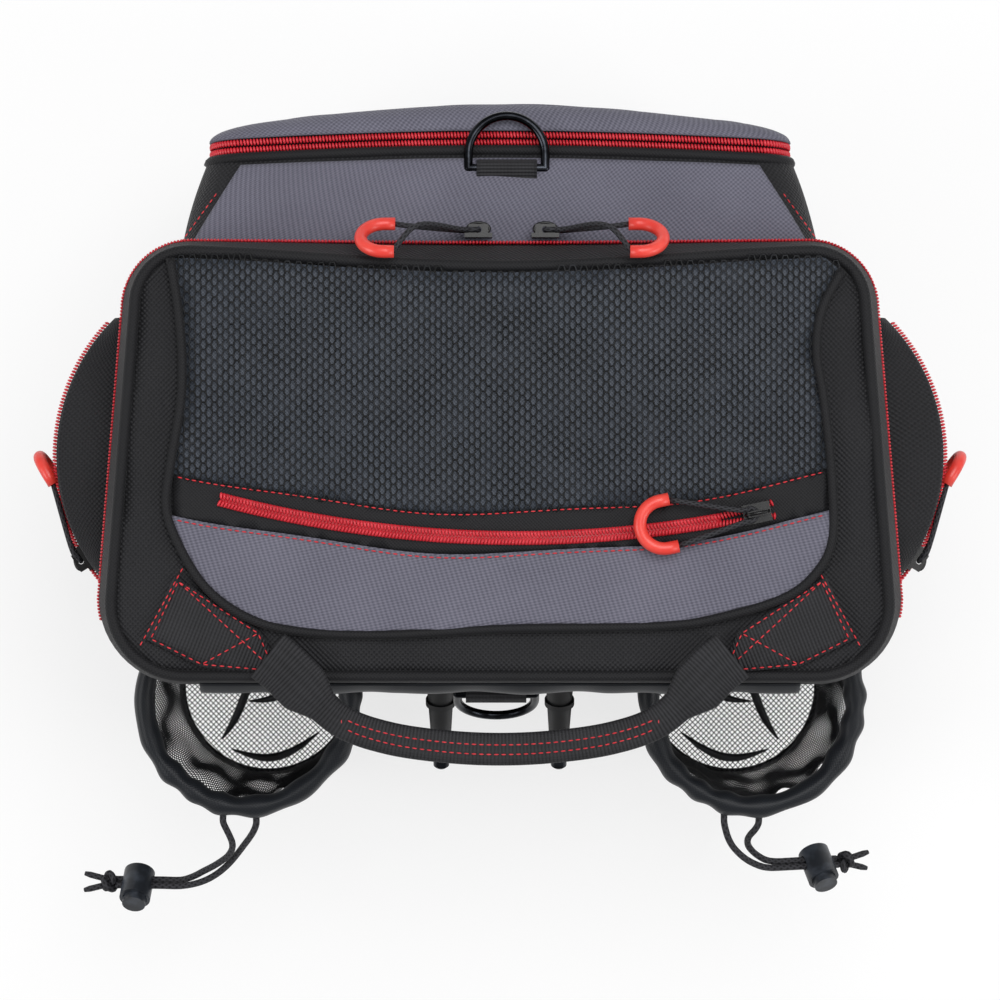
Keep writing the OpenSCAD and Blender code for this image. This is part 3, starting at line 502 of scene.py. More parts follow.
def mesh_cells(name, spots, sizes, material, body):
    """Six-sided cells of knitted mesh, one on each spot."""
    tree, given = node_tree(name, sizes)
    cell = add(tree, "GeometryNodeCurvePrimitiveCircle", 6, Radius=1.0)[0]
    size = add(tree, "ShaderNodeCombineXYZ", given["Width"], given["Height"], given["Width"])[0]
    cell = add(tree, "GeometryNodeTransform", cell, Scale=size)[0]
    yarn = add(tree, "GeometryNodeCurvePrimitiveCircle", 4, Radius=given["Yarn"])[0]
    shape = add(tree, "GeometryNodeCurveToMesh", cell, yarn)[0]
    close_tree(tree, stand_on_spots(tree, given["Geometry"], shape), material)
    return grown(name, spots_mesh(name, spots), tree, sizes, body)


def knitted(name, points, edges, yarn, material, body):
    """Net: a thin yarn along each edge."""
    tree, given = node_tree(name, ["Yarn"])
    lines = add(tree, "GeometryNodeMeshToCurve", given["Geometry"])[0]
    section = add(tree, "GeometryNodeCurvePrimitiveCircle", 3, Radius=given["Yarn"])[0]
    close_tree(tree, add(tree, "GeometryNodeCurveToMesh", lines, section)[0], material)
    mesh = bpy.data.meshes.new(name)
    mesh.from_pydata([tuple(c * MM for c in p) for p in points], edges, [])
    return grown(name, mesh, tree, {"Yarn": yarn}, body)


STITCHES = {}                     # the spots of all the red stitches, by body
TEETH = {}                        # and of all the coil's teeth


def stitch(line, body, up=(0, 0, 1), pitch=3.6):
    """A row of red stitches along a line."""
    line = resample(line, max(2, round(running(line)[-1] / pitch)))
    for a, b in zip(line, line[1:]):
        middle = (Vector(a) + Vector(b)) / 2
        STITCHES.setdefault(body, []).append((tuple(middle), tuple((Vector(b) - Vector(a)).normalized()), up))


def coil_row(line, across, up, body, lean=0.22):
    """A row of coil teeth along a line. across and up are directions, or functions of the place on the line."""
    line = resample(line, round(running(line)[-1] / TOOTH_PITCH))
    for a, b in zip(line, line[1:]):
        along = (Vector(b) - Vector(a)).normalized()
        over = Vector(across(a) if callable(across) else across)
        out = Vector(up(a) if callable(up) else up)
        TEETH.setdefault(body, []).append((a, tuple((over + along * lean).normalized()), tuple(out)))


# ---------------------------------------------------------------- camera and cords
def camera():
    """Straight down over the lid, so that a millimetre at the lid's top is two thousandths of the view."""
    height, view = 1.5, 0.5
    data = bpy.data.cameras.new("camera")
    data.sensor_width = 36.0
    data.lens = data.sensor_width * height / view
    eye = bpy.data.objects.new("camera", data)
    bpy.context.collection.objects.link(eye)
    eye.location = (0.0, -0.019, 0.258 + height)
    bpy.context.scene.camera = eye


def knot(side, centre, along):
    """A small overhand knot of both cord ends, with its two tails."""
    x = Vector(along).normalized()
    y = x.cross(Vector((0, 0, 1))).normalized()
    z = x.cross(y)
    turn = []
    for k in range(48):
        a = 2 * math.pi * k / 48
        ring = 3.1 + 1.7 * math.cos(3 * a)
        turn.append(tuple(Vector(centre) + y * ring * math.cos(2 * a) + z * ring * math.sin(2 * a)
                          + x * 2.6 * math.sin(3 * a)))
    piece = tube(f"{side}_cord_knot", turn, 1.75, BRAID, "bag", sides=10, closed=True)
    tails = []
    for s in (-1, 1):
        tail = [Vector(centre) + x * d + y * s * (1.0 + 0.25 * d) + z * 0.8 * s for d in (2, 5, 8, 11, 14)]
        tails.append(tube(f"{side}_cord_tail_{'a' if s < 0 else 'b'}", tail,
                          lambda t: 1.7 - 0.5 * max(0, t - 0.85) / 0.15, BRAID, "bag", sides=10))
    return [piece] + tails


def cords():
    """The drawcords' four ends, each pair through its lock to one knot."""
    for side, centre, along in (("left", (-213.5, -228.0, 116.5), (-1, 0, -0.1)),
                                ("right", (187.5, -215.5, 125.8), (0.93, 0, -0.37))):
        knots = knot(side, centre, along)
        for end in "ab":
            name = f"{side}_cord_{end}"
            route = ROUTES[name]
            path = curve_through([tuple(c / MM for c in p) for p in route], 3)
            piece = tube(name + "_braid", path, CORD_D / 2 / MM, BRAID, "bag", sides=12)
            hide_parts(name)
        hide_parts("cord_knots")


# ---------------------------------------------------------------- body
def walls():
    """The main compartment: one padded cloth tube that sags outwards, with soft creases."""
    rings = []
    for k in range(31):
        t = k / 30
        z = BASE_Z - 4 + (WALL_Z - BASE_Z + 4) * t
        out = 2.2 * math.sin(math.pi * t) - 3.5 * max(0, 1 - t / 0.06)
        rings.append([(x * (1 + out / 200) + crease((x, y, z), 46, 1.6) * math.sin(math.pi * t),
                       y * (1 + out / 120) + crease((x, z, y), 52, 1.6) * math.sin(math.pi * t), z)
                      for x, y in plan(1.6, 1.6, 1.6)])
    piece = loft("wall_cloth", rings, NYLON, "bag", inner=LINING)
    thicken(piece, 2.5, inner=True)
    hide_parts("rear_panel", "front_panel", "left_panel", "right_panel")
    base = plate("base_cloth", plan(4, 4, 4), lambda x, y: (x, y, BASE_Z - 4.6), 30, NYLON, "bag")
    thicken(base, 3.6, offset=1.0)
    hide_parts("base_panel")
    edge = [(x, y, BASE_Z - 3.2) for x, y in plan(3.4, 3.4, 3.4)]
    tube("base_binding", edge, 2.2, TAPE, "bag", closed=True)


def main_zip():
    """The main zip: a tape and a row of teeth on the bag and on the lid, and the cloth hinge at the rear."""
    for body, zs, tooth_z, node in (("bag", (226.0, 231.8), 230.0, "main_zip_lower"),
                                    ("lid", (232.2, 237.5), 234.0, "main_zip_upper")):
        rings = [[(x, y, z) for x, y in plan(2.4, 2.4, 2.4, LID_BOW * (z - 226) / 40)] for z in (zs[0], sum(zs) / 2, zs[1])]
        tape = loft(f"main_zip_tape_{body}", rings, TAPE, body)
        thicken(tape, 0.8)
        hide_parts(node)
        outline = plan(1.0, 1.0, 1.0, LID_BOW * 0.15, 900)
        start = min(range(900), key=lambda i: math.hypot(outline[i][0] + 200, outline[i][1] - ZIP_STOP))
        line = [outline[(start - i) % 900] for i in range(900)]
        line = [(x, y, tooth_z) for x, y in line if y > ZIP_STOP]
        coil_row(line, (0, 0, 1), lambda p: tuple(Vector((p[0] * (abs(p[1]) < 90), p[1] * (abs(p[1]) > 90) * 2, 0.01)).normalized()), body)

    def hinge_place(u, v):
        x = -152 + 304 * u
        belly = math.sin(math.pi * v)
        return x, -HALF_D + 0.7 + 1.6 * v - (4.2 + crease((x, 0, 0), 26, 1.6)) * belly, 224 + 17 * v
    hinge = surface("lid_hinge_binding", hinge_place, 120, 13, HEM, None)
    thicken(hinge, 1.0, offset=0)
    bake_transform(hinge, "bag", "lid", start=(0, -HALF_D * MM, 0.228), end=(0, -HALF_D * MM, 0.236))


# ---------------------------------------------------------------- lid
POCKET_EDGE = [(-165, 102), (-161, 76), (-159, 50), (-160, 28), (-165, -2), (-167, -23), (-160, -43), (-147, -63),
               (-128, -77), (-102, -84.5), (-58, -86.5), (0, -83.5), (80, -82), (113, -77), (144, -67), (160, -53),
               (166.5, -36), (166, -6), (162, 32), (158.5, 55), (161, 76), (171, 96)]


def front_edge(x):
    """Y of the lid's front edge, inside its piping."""
    return HALF_D - 11 - LID_BOW * math.cos(math.pi * x / FRONT_W / 2) ** 2


def tape_edge(x, lower):
    """Y of the stitched edges of the zip's tape on the lid pocket."""
    return (-46.5 if lower else -26.5) + 19.5 * (x / 162) ** 2 + 1.2 * math.sin(x / 21)


def lid_height(x, y):
    """Height of the cloth on the lid: it swells a little between the seams, and creases near them."""
    swell = max(0.0, math.cos(math.pi * x / 340)) * max(0.0, math.cos(math.pi * (y - 10) / 210))
    return POCKET_TOP + 1.4 * swell + crease((x, y, 3), 34, 1.3)


def pocket_outline(test):
    """The lid pocket's outline, kept where test says so."""
    edge = resample(curve_through(POCKET_EDGE, 5), 150)
    return [(x, y) for x, y in edge if test(x, y)]


def lid():
    """The lid's side band, top cloth, both pipings and lining."""
    rings = []
    for k in range(9):
        t = k / 8
        outline = plan(1.5 + 6.5 * t, 1.5 + 4.5 * t, 1.5 + 3.5 * t, LID_BOW * (0.3 + 0.7 * t))
        rings.append([(x, y, 236.2 + 17.4 * t + crease((x, y, 0), 60, 0.6)) for x, y in outline])
    band = loft("lid_band", rings, NYLON, "lid", inner=LINING)
    thicken(band, 2.0, inner=True)
    top = plate("lid_top_cloth", plan(11, 9, 8, LID_BOW),
                lambda x, y: (x, y, 253.6 + crease((x, y, 9), 34, 2.6)), 6, NYLON, "lid")
    thicken(top, 1.4)
    lining = plate("lid_lining", plan(10, 9, 8, LID_BOW), lambda x, y: (x, y, 246.0 + crease((x, y, 5), 60, 1.5)),
                   12, LINING, "lid")
    thicken(lining, 0.8)
    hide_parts("lid_panel")
    piping = tube("lid_edge_piping", [(x, y, 253.4) for x, y in plan(9.6, 7.6, 6.6, LID_BOW, 300)], 3.0, TAPE, "lid",
                  closed=True)
    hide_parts("lid_piping")
    edge = curve_through(POCKET_EDGE, 6)
    inner = tube("pocket_piping", [(x, y, 257.2 + crease((x, y, 0), 30, 0.5)) for x, y in edge], 2.3, TAPE, "lid")
    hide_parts("lid_inner_piping")


def lid_pocket():
    """The lid pocket: knitted mesh over a dark lining, a taped zip, and the grey panel behind it."""
    upper = pocket_outline(lambda x, y: y > tape_edge(x, False))
    right = [p for p in upper if p[0] > 0]
    left = [p for p in upper if p[0] < 0]
    seam_x = [left[-1][0] + (right[0][0] - left[-1][0]) * i / 40 for i in range(41)]
    far_x = [right[-1][0] + (left[0][0] - right[-1][0]) * i / 40 for i in range(1, 40)]
    field = left + [(x, tape_edge(x, False)) for x in seam_x] + right + [(x, front_edge(x)) for x in far_x]
    lining = plate("pocket_lining", field, lambda x, y: (x, y, lid_height(x, y) - 2.0), 8, LINING, "lid")
    thicken(lining, 0.6)
    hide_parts("lid_mesh")
    wide, row = 5.6, 2.6
    spots = []
    for j in range(int(150 / row)):
        y = -32 + j * row
        for i in range(-32, 33):
            x = i * wide + (wide / 2 if j % 2 else 0)
            if inside(x, y, field) and inside(x, y - 3.0, field):
                lift = lid_height(x, y) + 0.3
                spots.append(((x, y + crease((x, y, 1), 40, 1.5), lift), (1, 0, 0), (0, 0, 1)))
    mesh_cells("pocket_mesh", spots, {"Width": 1.9, "Height": 3.0, "Yarn": 0.46}, NET, "lid")

    def between(low, high, count=40):
        across = [-163.5 + 327 * i / count for i in range(count + 1)]
        return [(x, low(x)) for x in across] + [(x, high(x)) for x in reversed(across)]
    tape = plate("pocket_zip_tape", between(lambda x: tape_edge(x, True), lambda x: tape_edge(x, False) + 2),
                 lambda x, y: (x, y, lid_height(x, y) - 0.1), 5, TAPE, "lid")
    thicken(tape, 0.7)
    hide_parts("lid_pocket_zip")
    low = pocket_outline(lambda x, y: y < tape_edge(x, True))
    ends = [low[-1][0] + (low[0][0] - low[-1][0]) * i / 40 for i in range(41)]
    panel = plate("pocket_panel_cloth", low + [(x, tape_edge(x, True) + 1.0) for x in ends],
                  lambda x, y: (x, y, lid_height(x, y) + 0.8 + abs(crease((x, y, 7), 24, 2.4))), 4, POLYESTER, "lid",
                  uv=lambda a, b: ((a + b) * 0.7071, (b - a) * 0.7071))
    thicken(panel, 0.7)
    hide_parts("lid_pocket_panel")
    for lower, shift in ((False, 0.8), (True, -0.8)):
        line = [(x, tape_edge(x, lower) + shift) for x in range(-162, 163, 6)]
        stitch([(x, y, lid_height(x, y) + (0.4 if shift > 0 else 1.2 + abs(crease((x, y, 7), 24, 2.4)))) for x, y in line], "lid")
    start, end = (math.radians(a) for a in ZIP_ENDS)
    for r, lean in ((ZIP_R - 1.85, 0.25), (ZIP_R + 1.85, -0.25)):
        line = []
        for k in range(81):
            a = start + (end - start) * k / 80
            gape = 1.6 * max(0, (k - 72) / 8) * (1 if r > ZIP_R else -1)
            x, y = ZIP_CENTRE[0] + (r + gape) * math.sin(a), ZIP_CENTRE[1] - (r + gape) * math.cos(a)
            line.append((x, y, lid_height(x, y) + 1.4))
        coil_row(line, lambda p: tuple((Vector((p[0] - ZIP_CENTRE[0], p[1] - ZIP_CENTRE[1], 0))).normalized()),
                 (0, 0, 1), "lid", lean)

    def bed(u, v):
        a, r = start + (end - start) * 0.9 * u, ZIP_R + 3.4 - 6.8 * v
        x, y = ZIP_CENTRE[0] + r * math.sin(a), ZIP_CENTRE[1] - r * math.cos(a)
        return x, y, lid_height(x, y) + 0.9
    thicken(surface("pocket_coil_core", bed, 80, 6, COIL, "lid"), 0.8)


# ---------------------------------------------------------------- handle
def anchors():
    """The handle's sewn ends: ribbed webbing with a box and a cross of red stitches."""
    corners = [(163, -57), (119, -85.5), (110, -106), (150, -102.5), (178, -88.5)]
    for s, side in ((-1, "left"), (1, "right")):
        ring = [(s * x, y) for x, y in corners][::-s]
        outline = resample(ring, 60, True)
        along = Vector((s * -0.93, -0.37))

        def across(a, b, along=along):
            return a * along.y - b * along.x, a * along.x + b * along.y
        piece = plate(f"{side}_handle_anchor", outline, lambda x, y: (x, y, 256.2 + crease((x, y, 2), 25, 0.7)), 5,
                      WEBBING, "lid", uv=across)
        thicken(piece, 1.9)
        if s < 0:
            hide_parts("handle_anchors")
        centre = Vector((s * 142, -88.5))
        inner = [tuple(centre + (Vector(p) - centre) * 0.91) for p in [(s * x, y) for x, y in corners]]
        at = [(x, y, 256.6 + crease((x, y, 2), 25, 0.7)) for x, y in inner]
        for a, b in ((0, 1), (1, 2), (2, 3), (3, 4), (4, 0), (0, 2), (1, 3)):
            stitch([at[a], at[b]], "lid")
        stitch([(s * 158.5, -52.5, 256.3), (s * 180.5, -92.5, 256.3)], "lid")


def handle():
    """The handle: webbing that leaves its anchors flat and folds into a thick grip."""
    half = [(0, -143.4), (28, -142), (56, -137.8), (79, -129.6), (97, -114), (108, -103.2), (116, -96.8)]
    line = curve_through([(-x, y, 0) for x, y in reversed(half[1:])] + [(x, y, 0) for x, y in half], 8)
    run = running(line)[-1]

    def section(t):
        away = min(1.0, abs(t - 0.5) * run / 88)
        fold = max(0.0, min(1.0, (away - 0.86) / 0.4))
        wide, thick = 8.2 + 9.5 * fold * (2 - fold), 3.5 - 2.0 * fold
        ring = []
        for k in range(20):
            a = -2 * math.pi * k / 20
            c, s = math.cos(a), math.sin(a)
            ring.append((wide * abs(c) ** 0.45 * math.copysign(1, c), thick * abs(s) ** 0.6 * math.copysign(1, s)))
        return ring
    path = [(x, y, 258.2 + 2.2 * (1 - (abs(x) / 116) ** 4)) for x, y, _ in line]
    rings = swept(path, section)
    count, sides = len(rings), 20
    lengths, points, faces, uvs = running(path), [p for ring in rings for p in ring], [], []
    for k in range(count - 1):
        for i in range(sides):
            j = (i + 1) % sides
            faces.append((k * sides + i, k * sides + j, (k + 1) * sides + j, (k + 1) * sides + i))
            uvs.append([(a * 2.4 * MM, lengths[b] * MM) for a, b in ((i, k), (i + 1, k), (i + 1, k + 1), (i, k + 1))])
    piece = make_piece("handle_webbing", points, faces, uvs, WEBBING, "handle")
    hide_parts("handle_grip")
    seam = [p for p in path if abs(p[0]) < 79]
    for shift in (-2.4, 2.4):
        stitch([(x, y + shift, z + 3.5) for x, y, z in seam], "handle")
    for s in (-1, 1):
        stitch([(s * 79, -131.5, 263.2), (s * 79, -127.5, 263.2)], "handle", pitch=2.0)


# ---------------------------------------------------------------- front pocket
def upright_outline(w, z0, z1, r, count=160):
    """The front pocket's outline in its upright plane, as (X, Z)."""
    corners = (arc(w - r, z1 - r, r, 0, 90, 10) + arc(-w + r, z1 - r, r, 90, 180, 10)
               + arc(-w + 8, z0 + 8, 8, 180, 270, 5) + arc(w - 8, z0 + 8, 8, 270, 360, 5))
    return resample(corners, count, True)[::-1]


def bowed(x):
    """How far the front pocket's zip bows out at X."""
    return FRONT_BOW * math.cos(math.pi * max(-1, min(1, x / FRONT_W2)) / 2) ** 1.0


# How far the grey cloth on top of the front pocket runs towards its zip, as a share of the way
SHOULDER_END = 0.88


def front_pocket():
    """The front pocket's gusset, black at the sides and grey on top, its zip, and the grey flap."""
    rings = []
    for k in range(15):
        t = k / 14
        w, top = ROOT_W + (FRONT_W2 - ROOT_W) * t, ROOT_Z[1] + (FRONT_Z[1] - ROOT_Z[1]) * t
        y = FRONT_ROOT_Y + (FRONT_ZIP_Y - 4 - FRONT_ROOT_Y) * t
        swell = 2.2 * math.sin(math.pi * t)
        rings.append([(x + swell * x / w * 0.6, y + bowed(x) * t, z + (swell if z > 150 else 0) * 0.5
                       + crease((x, y, z), 30, 1.8) * math.sin(math.pi * t))
                      for x, z in upright_outline(w, FRONT_Z[0], top, 22 - 4 * t)])
    gusset = loft("front_pocket_gusset", rings, NYLON, "bag", inner=LINING)
    thicken(gusset, 2.0, inner=True)
    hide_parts("front_gusset")

    def shoulder_place(u, v):
        t = SHOULDER_END * (1 - v)
        w, r = ROOT_W + (FRONT_W2 - ROOT_W) * t, 22 - 4 * t
        x = (2 * u - 1) * (161 - 31 * t)
        over = max(0.0, abs(x) - (w - r))
        swell = 2.2 * math.sin(math.pi * t)
        z = ROOT_Z[1] + (FRONT_Z[1] - ROOT_Z[1]) * t - r + math.sqrt(max(0.0, r * r - over * over)) + swell * 0.5
        y = FRONT_ROOT_Y + (FRONT_ZIP_Y - 4 - FRONT_ROOT_Y) * t + bowed(x) * t
        return x, y, z + 1.0 + 0.9 * swell * (0.5 + 0.5 * math.cos(x / 24)) + crease((x, y, z), 30, 1.8) * math.sin(math.pi * t)
    shoulder = surface("front_shoulder_cloth", shoulder_place, 120, 20, POLYESTER, "bag")
    thicken(shoulder, 0.8, offset=0)
    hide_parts("front_shoulder")
    for s in (-1, 1):
        seam = [(s * (133.5 + 30.5 * t), 157.5 - 45 * t, 206.5 + 13 * t) for t in (k / 10 for k in range(11))]
        stitch(seam, "bag", up=(s * 0.35, 0.1, 0.93))
    for body, y, node in (("bag", FRONT_ZIP_Y - 1.95, "front_zip_inner"), ("front_flap", FRONT_ZIP_Y + 1.95, "front_zip_outer")):
        outline = upright_outline(FRONT_W2 - 1, FRONT_Z[0] + 1, FRONT_Z[1] - 1, 17.5, 700)
        start = min(range(700), key=lambda i: math.hypot(outline[i][0] - FRONT_W2, outline[i][1] - 60))
        line = [outline[(start - i) % 700] for i in range(700)]
        line = [(x, y + bowed(x), z) for x, z in line if z > 60]
        coil_row(line, (0, 1, 0), lambda p: tuple(Vector((p[0] * (abs(p[0]) > 136), 0.01, (p[2] > 190) * 120)).normalized()), body)
        tape = loft(f"front_zip_tape_{body}", [[(x, y + d + bowed(x), z) for x, z in upright_outline(
            FRONT_W2 - 2.6, FRONT_Z[0] + 2.6, FRONT_Z[1] - 2.6, 16)] for d in (-3.2 if body == "bag" else -1.7, 0, 1.7 if body == "bag" else 3.2)],
            TAPE, body)
        thicken(tape, 0.8)
        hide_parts(node)
    def hinge_place(u, v):
        x = (2 * u - 1) * (FRONT_W2 - 19)
        return x, FRONT_ZIP_Y - 7 + 16 * v, FRONT_Z[0] - 1.2 - 2.0 * math.sin(math.pi * v)
    hinge = surface("front_hinge_binding", hinge_place, 80, 9, HEM, None)
    thicken(hinge, 1.0, offset=0)
    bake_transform(hinge, "bag", "front_flap", start=(0, (FRONT_ZIP_Y - 4) * MM, FRONT_Z[0] * MM),
             end=(0, (FRONT_ZIP_Y + 4) * MM, FRONT_Z[0] * MM))
    edge = upright_outline(FRONT_W2 - 0.4, FRONT_Z[0], FRONT_Z[1] - 0.2, 18)
    tube("front_zip_piping", [(x, FRONT_ZIP_Y - 6.2 + bowed(x), z + 0.5) for x, z in edge], 2.8, TAPE, "bag",
         up=(0, 1, 0), closed=True)
    rings = []
    for k in range(11):
        a = math.pi / 2 * k / 10
        shrink = 15 * (1 - math.cos(a))
        depth = math.sin(a)
        rings.append([(x, FRONT_ZIP_Y + 4.2 + bowed(x) + depth * (7 + 8 * math.cos(math.pi * x / 2 / FRONT_W2)),
                       z + crease((x, 0, z), 40, 1.5) * depth)
                      for x, z in upright_outline(FRONT_W2 - shrink, FRONT_Z[0] + shrink * 0.5, FRONT_Z[1] - shrink, 18)])
    flap = loft("front_flap_cloth", rings, POLYESTER, "front_flap", inner=LINING)
    thicken(flap, 1.8, inner=True)
    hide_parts("front_flap")
    face = [(x, z) for x, _, z in reversed(rings[-1])]
    cloth = plate("front_flap_face", face, lambda x, z: (
        x, FRONT_ZIP_Y + 11.2 + bowed(x) + 8 * math.cos(math.pi * x / 2 / FRONT_W2) + crease((x, 0, z), 40, 1.5), z),
        8, POLYESTER, "front_flap", facing=-1)
    thicken(cloth, 1.8)


# ---------------------------------------------------------------- side pockets
def side_point(s, degrees, share=1.0, out=0.0):
    """A point on a side pocket's curve, or on the way to it from the wall."""
    a = math.radians(degrees)
    x, y = SIDE_CX + (SIDE_R + out) * math.cos(a), SIDE_MID + (SIDE_R + out) * math.sin(a)
    wall = REAR_W - 0.0816 * (y + 69) + 1.0
    return s * (wall + (max(x, wall) - wall) * share), y


def side_pockets():
    """Side pockets: a curved cloth shell with a sagging belly, and a zipped top that domes up to the wall."""
    for s, side in ((-1, "left"), (1, "right")):
        def shell(u, v, s=s):
            degrees = SIDE_HALF * (1 - 2 * u) * -s
            share, z = min(1.0, v / 0.12), SIDE_LOW + max(0.0, v - 0.12) / 0.88 * (SIDE_ZIP_Z - 4 - SIDE_LOW)
            belly = 4.0 * math.sin(math.pi * v) * math.cos(math.radians(degrees * 1.9))
            x, y = side_point(s, degrees, share ** 0.6, belly)
            return x + s * crease((x, y, z), 30, 1.8) * math.sin(math.pi * v), y, z - 3 * math.sin(math.pi * share) * (share < 1)
        piece = surface(f"{side}_pocket_cloth", shell, 70, 34, NYLON, "bag", inner=LINING)
        thicken(piece, 1.8, inner=True)
        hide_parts(f"{side}_pocket_shell")

        def dome(u, v, s=s):
            degrees = SIDE_HALF * (1 - 2 * u) * -s
            share = 1.0 if v < 0.3 else 1.0 - (v - 0.3) / 0.7
            x, y = side_point(s, degrees, share)
            rise = min(1.0, v / 0.3) * 7 + 5 * math.sin(math.pi * min(1, max(0, v - 0.3) / 0.7) * 0.5)
            return x, y, SIDE_ZIP_Z + 4 + rise + crease((x, y, 4), 24, 1.4) * v
        top = surface(f"{side}_pocket_top_cloth", dome, 60, 16, NYLON, f"{side}_top", inner=LINING)
        thicken(top, 1.6, inner=True)
        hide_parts(f"{side}_pocket_top")
        for body, row, node in (("bag", -1, "zip_inner"), (f"{side}_top", 1, "zip_outer")):
            line = []
            for k in range(81):
                x, y = side_point(s, (SIDE_HALF - 3) * (1 - 2 * k / 80), 1.0, 1.0 - row * 1.5)
                line.append((x, y, SIDE_ZIP_Z + row * 1.5))

            def outward(p, s=s):
                return tuple(Vector((s * 0.8, 0.25 * (p[1] - SIDE_MID) / 60, 0.6)).normalized())
            coil_row(line, (-s * 0.75, 0, 0.66), outward, body)
            tape = [side_point(s, (SIDE_HALF - 2) * (1 - 2 * k / 40), 1.0, -2.6 - row * 0.8) for k in range(41)]
            strip = loft(f"{side}_zip_tape_{node}", [[(x, y, SIDE_ZIP_Z + row * d) for x, y in tape] for d in (0.2, 2.2, 4.6)],
                         TAPE, body, closed=False)
            thicken(strip, 0.8, offset=0)
            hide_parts(f"{side}_{node}")
        rim = [side_point(s, SIDE_HALF * (1 - 2 * k / 40), 1.0, -3.4) for k in range(41)]
        tube(f"{side}_top_piping", [(x, y, SIDE_ZIP_Z + 7.5) for x, y in rim], 2.0, TAPE, f"{side}_top")


# ---------------------------------------------------------------- bottle pockets
def bottle_pockets():
    """Bottle pockets: knitted net tubs, with a taped seam round the foot, and hems gathered on a drawcord."""
    for s, side in ((-1, "left"), (1, "right")):
        around, rows = 150, 58
        points, edges = [], []
        for j in range(rows + 1):
            t = j / rows
            for i in range(around):
                a = 2 * math.pi * (i + 0.5 * (j % 2)) / around
                pleat = (0.4 + 1.8 * t) * math.sin(13 * a + 2 * t) + crease((60 * math.cos(a), 60 * math.sin(a), 60 * t), 22, 5.0)
                r = NET_R - 6 + 5.0 * t + pleat * (0.4 + 0.6 * t) - 2
                points.append((s * NET_X + r * math.cos(a), NET_Y + r * math.sin(a), NET_LOW + (NET_TOP - NET_LOW + 2) * t))
                if j:
                    k = (j - 1) * around
                    step = (i + 1) % around if j % 2 == 0 else i
                    other = (i - 1) % around if j % 2 == 0 else (i + 1) % around
                    edges += [(j * around + i, k + i), (j * around + i, k + (other if j % 2 == 0 else step if step != i else other))]
        net = knitted(f"{side}_net_wall", points, edges, 0.34, NET, "bag")
        points, index, edges = [], {}, []
        cell, reach = 1.55, NET_R - 7
        steps = int(reach / cell) + 1
        for i in range(-steps, steps + 1):
            for j in range(-steps, steps + 1):
                x, y = i * cell, j * cell * 1.0
                if (i + j) % 2 == 0 and math.hypot(x, y) < reach:
                    index[i, j] = len(points)
                    fold = 7 * noise.noise(Vector((x + s * 40, y, 0)) / 19) + 3 * math.sin(x / 6 + y / 14)
                    points.append((s * NET_X + x, NET_Y + y, NET_LOW + 9 + fold * (1 - (math.hypot(x, y) / reach) ** 3)))
        for (i, j), k in index.items():
            for step in ((1, 1), (1, -1)):
                if (i + step[0], j + step[1]) in index:
                    edges.append((k, index[i + step[0], j + step[1]]))
        knitted(f"{side}_net_floor", points, edges, 0.33, NET, "bag")
        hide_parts(f"{side}_bottle_net")
        seam = [(s * NET_X + (NET_R - 7.5) * math.cos(a), NET_Y + (NET_R - 7.5) * math.sin(a), NET_LOW + 1.5)
                for a in (2 * math.pi * k / 60 for k in range(60))]
        tube(f"{side}_net_seam", seam, 1.8, TAPE, "bag", closed=True)
        for k, (ax, ay, bx, by, lift) in enumerate(((-34, 22, 10, -8, 9), (2, 30, 26, -30, 7), (-30, -26, 20, -36, 5))):
            fold = [(s * NET_X + s * (ax + (bx - ax) * t), NET_Y + ay + (by - ay) * t - 9 * math.sin(math.pi * t),
                     NET_LOW + 8 + lift + 3 * math.sin(5 * t)) for t in (i / 14 for i in range(15))]
            tube(f"{side}_net_fold_{k}", fold, lambda t: 0.5 + 1.9 * math.sin(math.pi * t), NET, "bag", sides=8)

        def gathered(u, v, s=s):
            a, b = 2 * math.pi * u, 2 * math.pi * v
            pucker = 1.0 + 0.12 * math.sin(17 * a + 2 * math.sin(3 * a)) + 0.25 * noise.noise(
                Vector((3 * math.cos(a), 3 * math.sin(a), s * 2)))
            r = NET_R - 2.0 + 5.6 * pucker * math.cos(b) + crease((50 * math.cos(a), 50 * math.sin(a), s * 30), 26, 1.6)
            z = (NET_TOP + HEM_TOP) / 2 + 7.0 * math.sin(b) + 1.0 * pucker * math.sin(b) + 1.2 * math.sin(3 * a)
            return s * NET_X + r * math.cos(a), NET_Y + r * math.sin(a), z
        hem = surface(f"{side}_hem", gathered, 361, 21, HEM, "bag")
    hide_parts("bottle_hems")


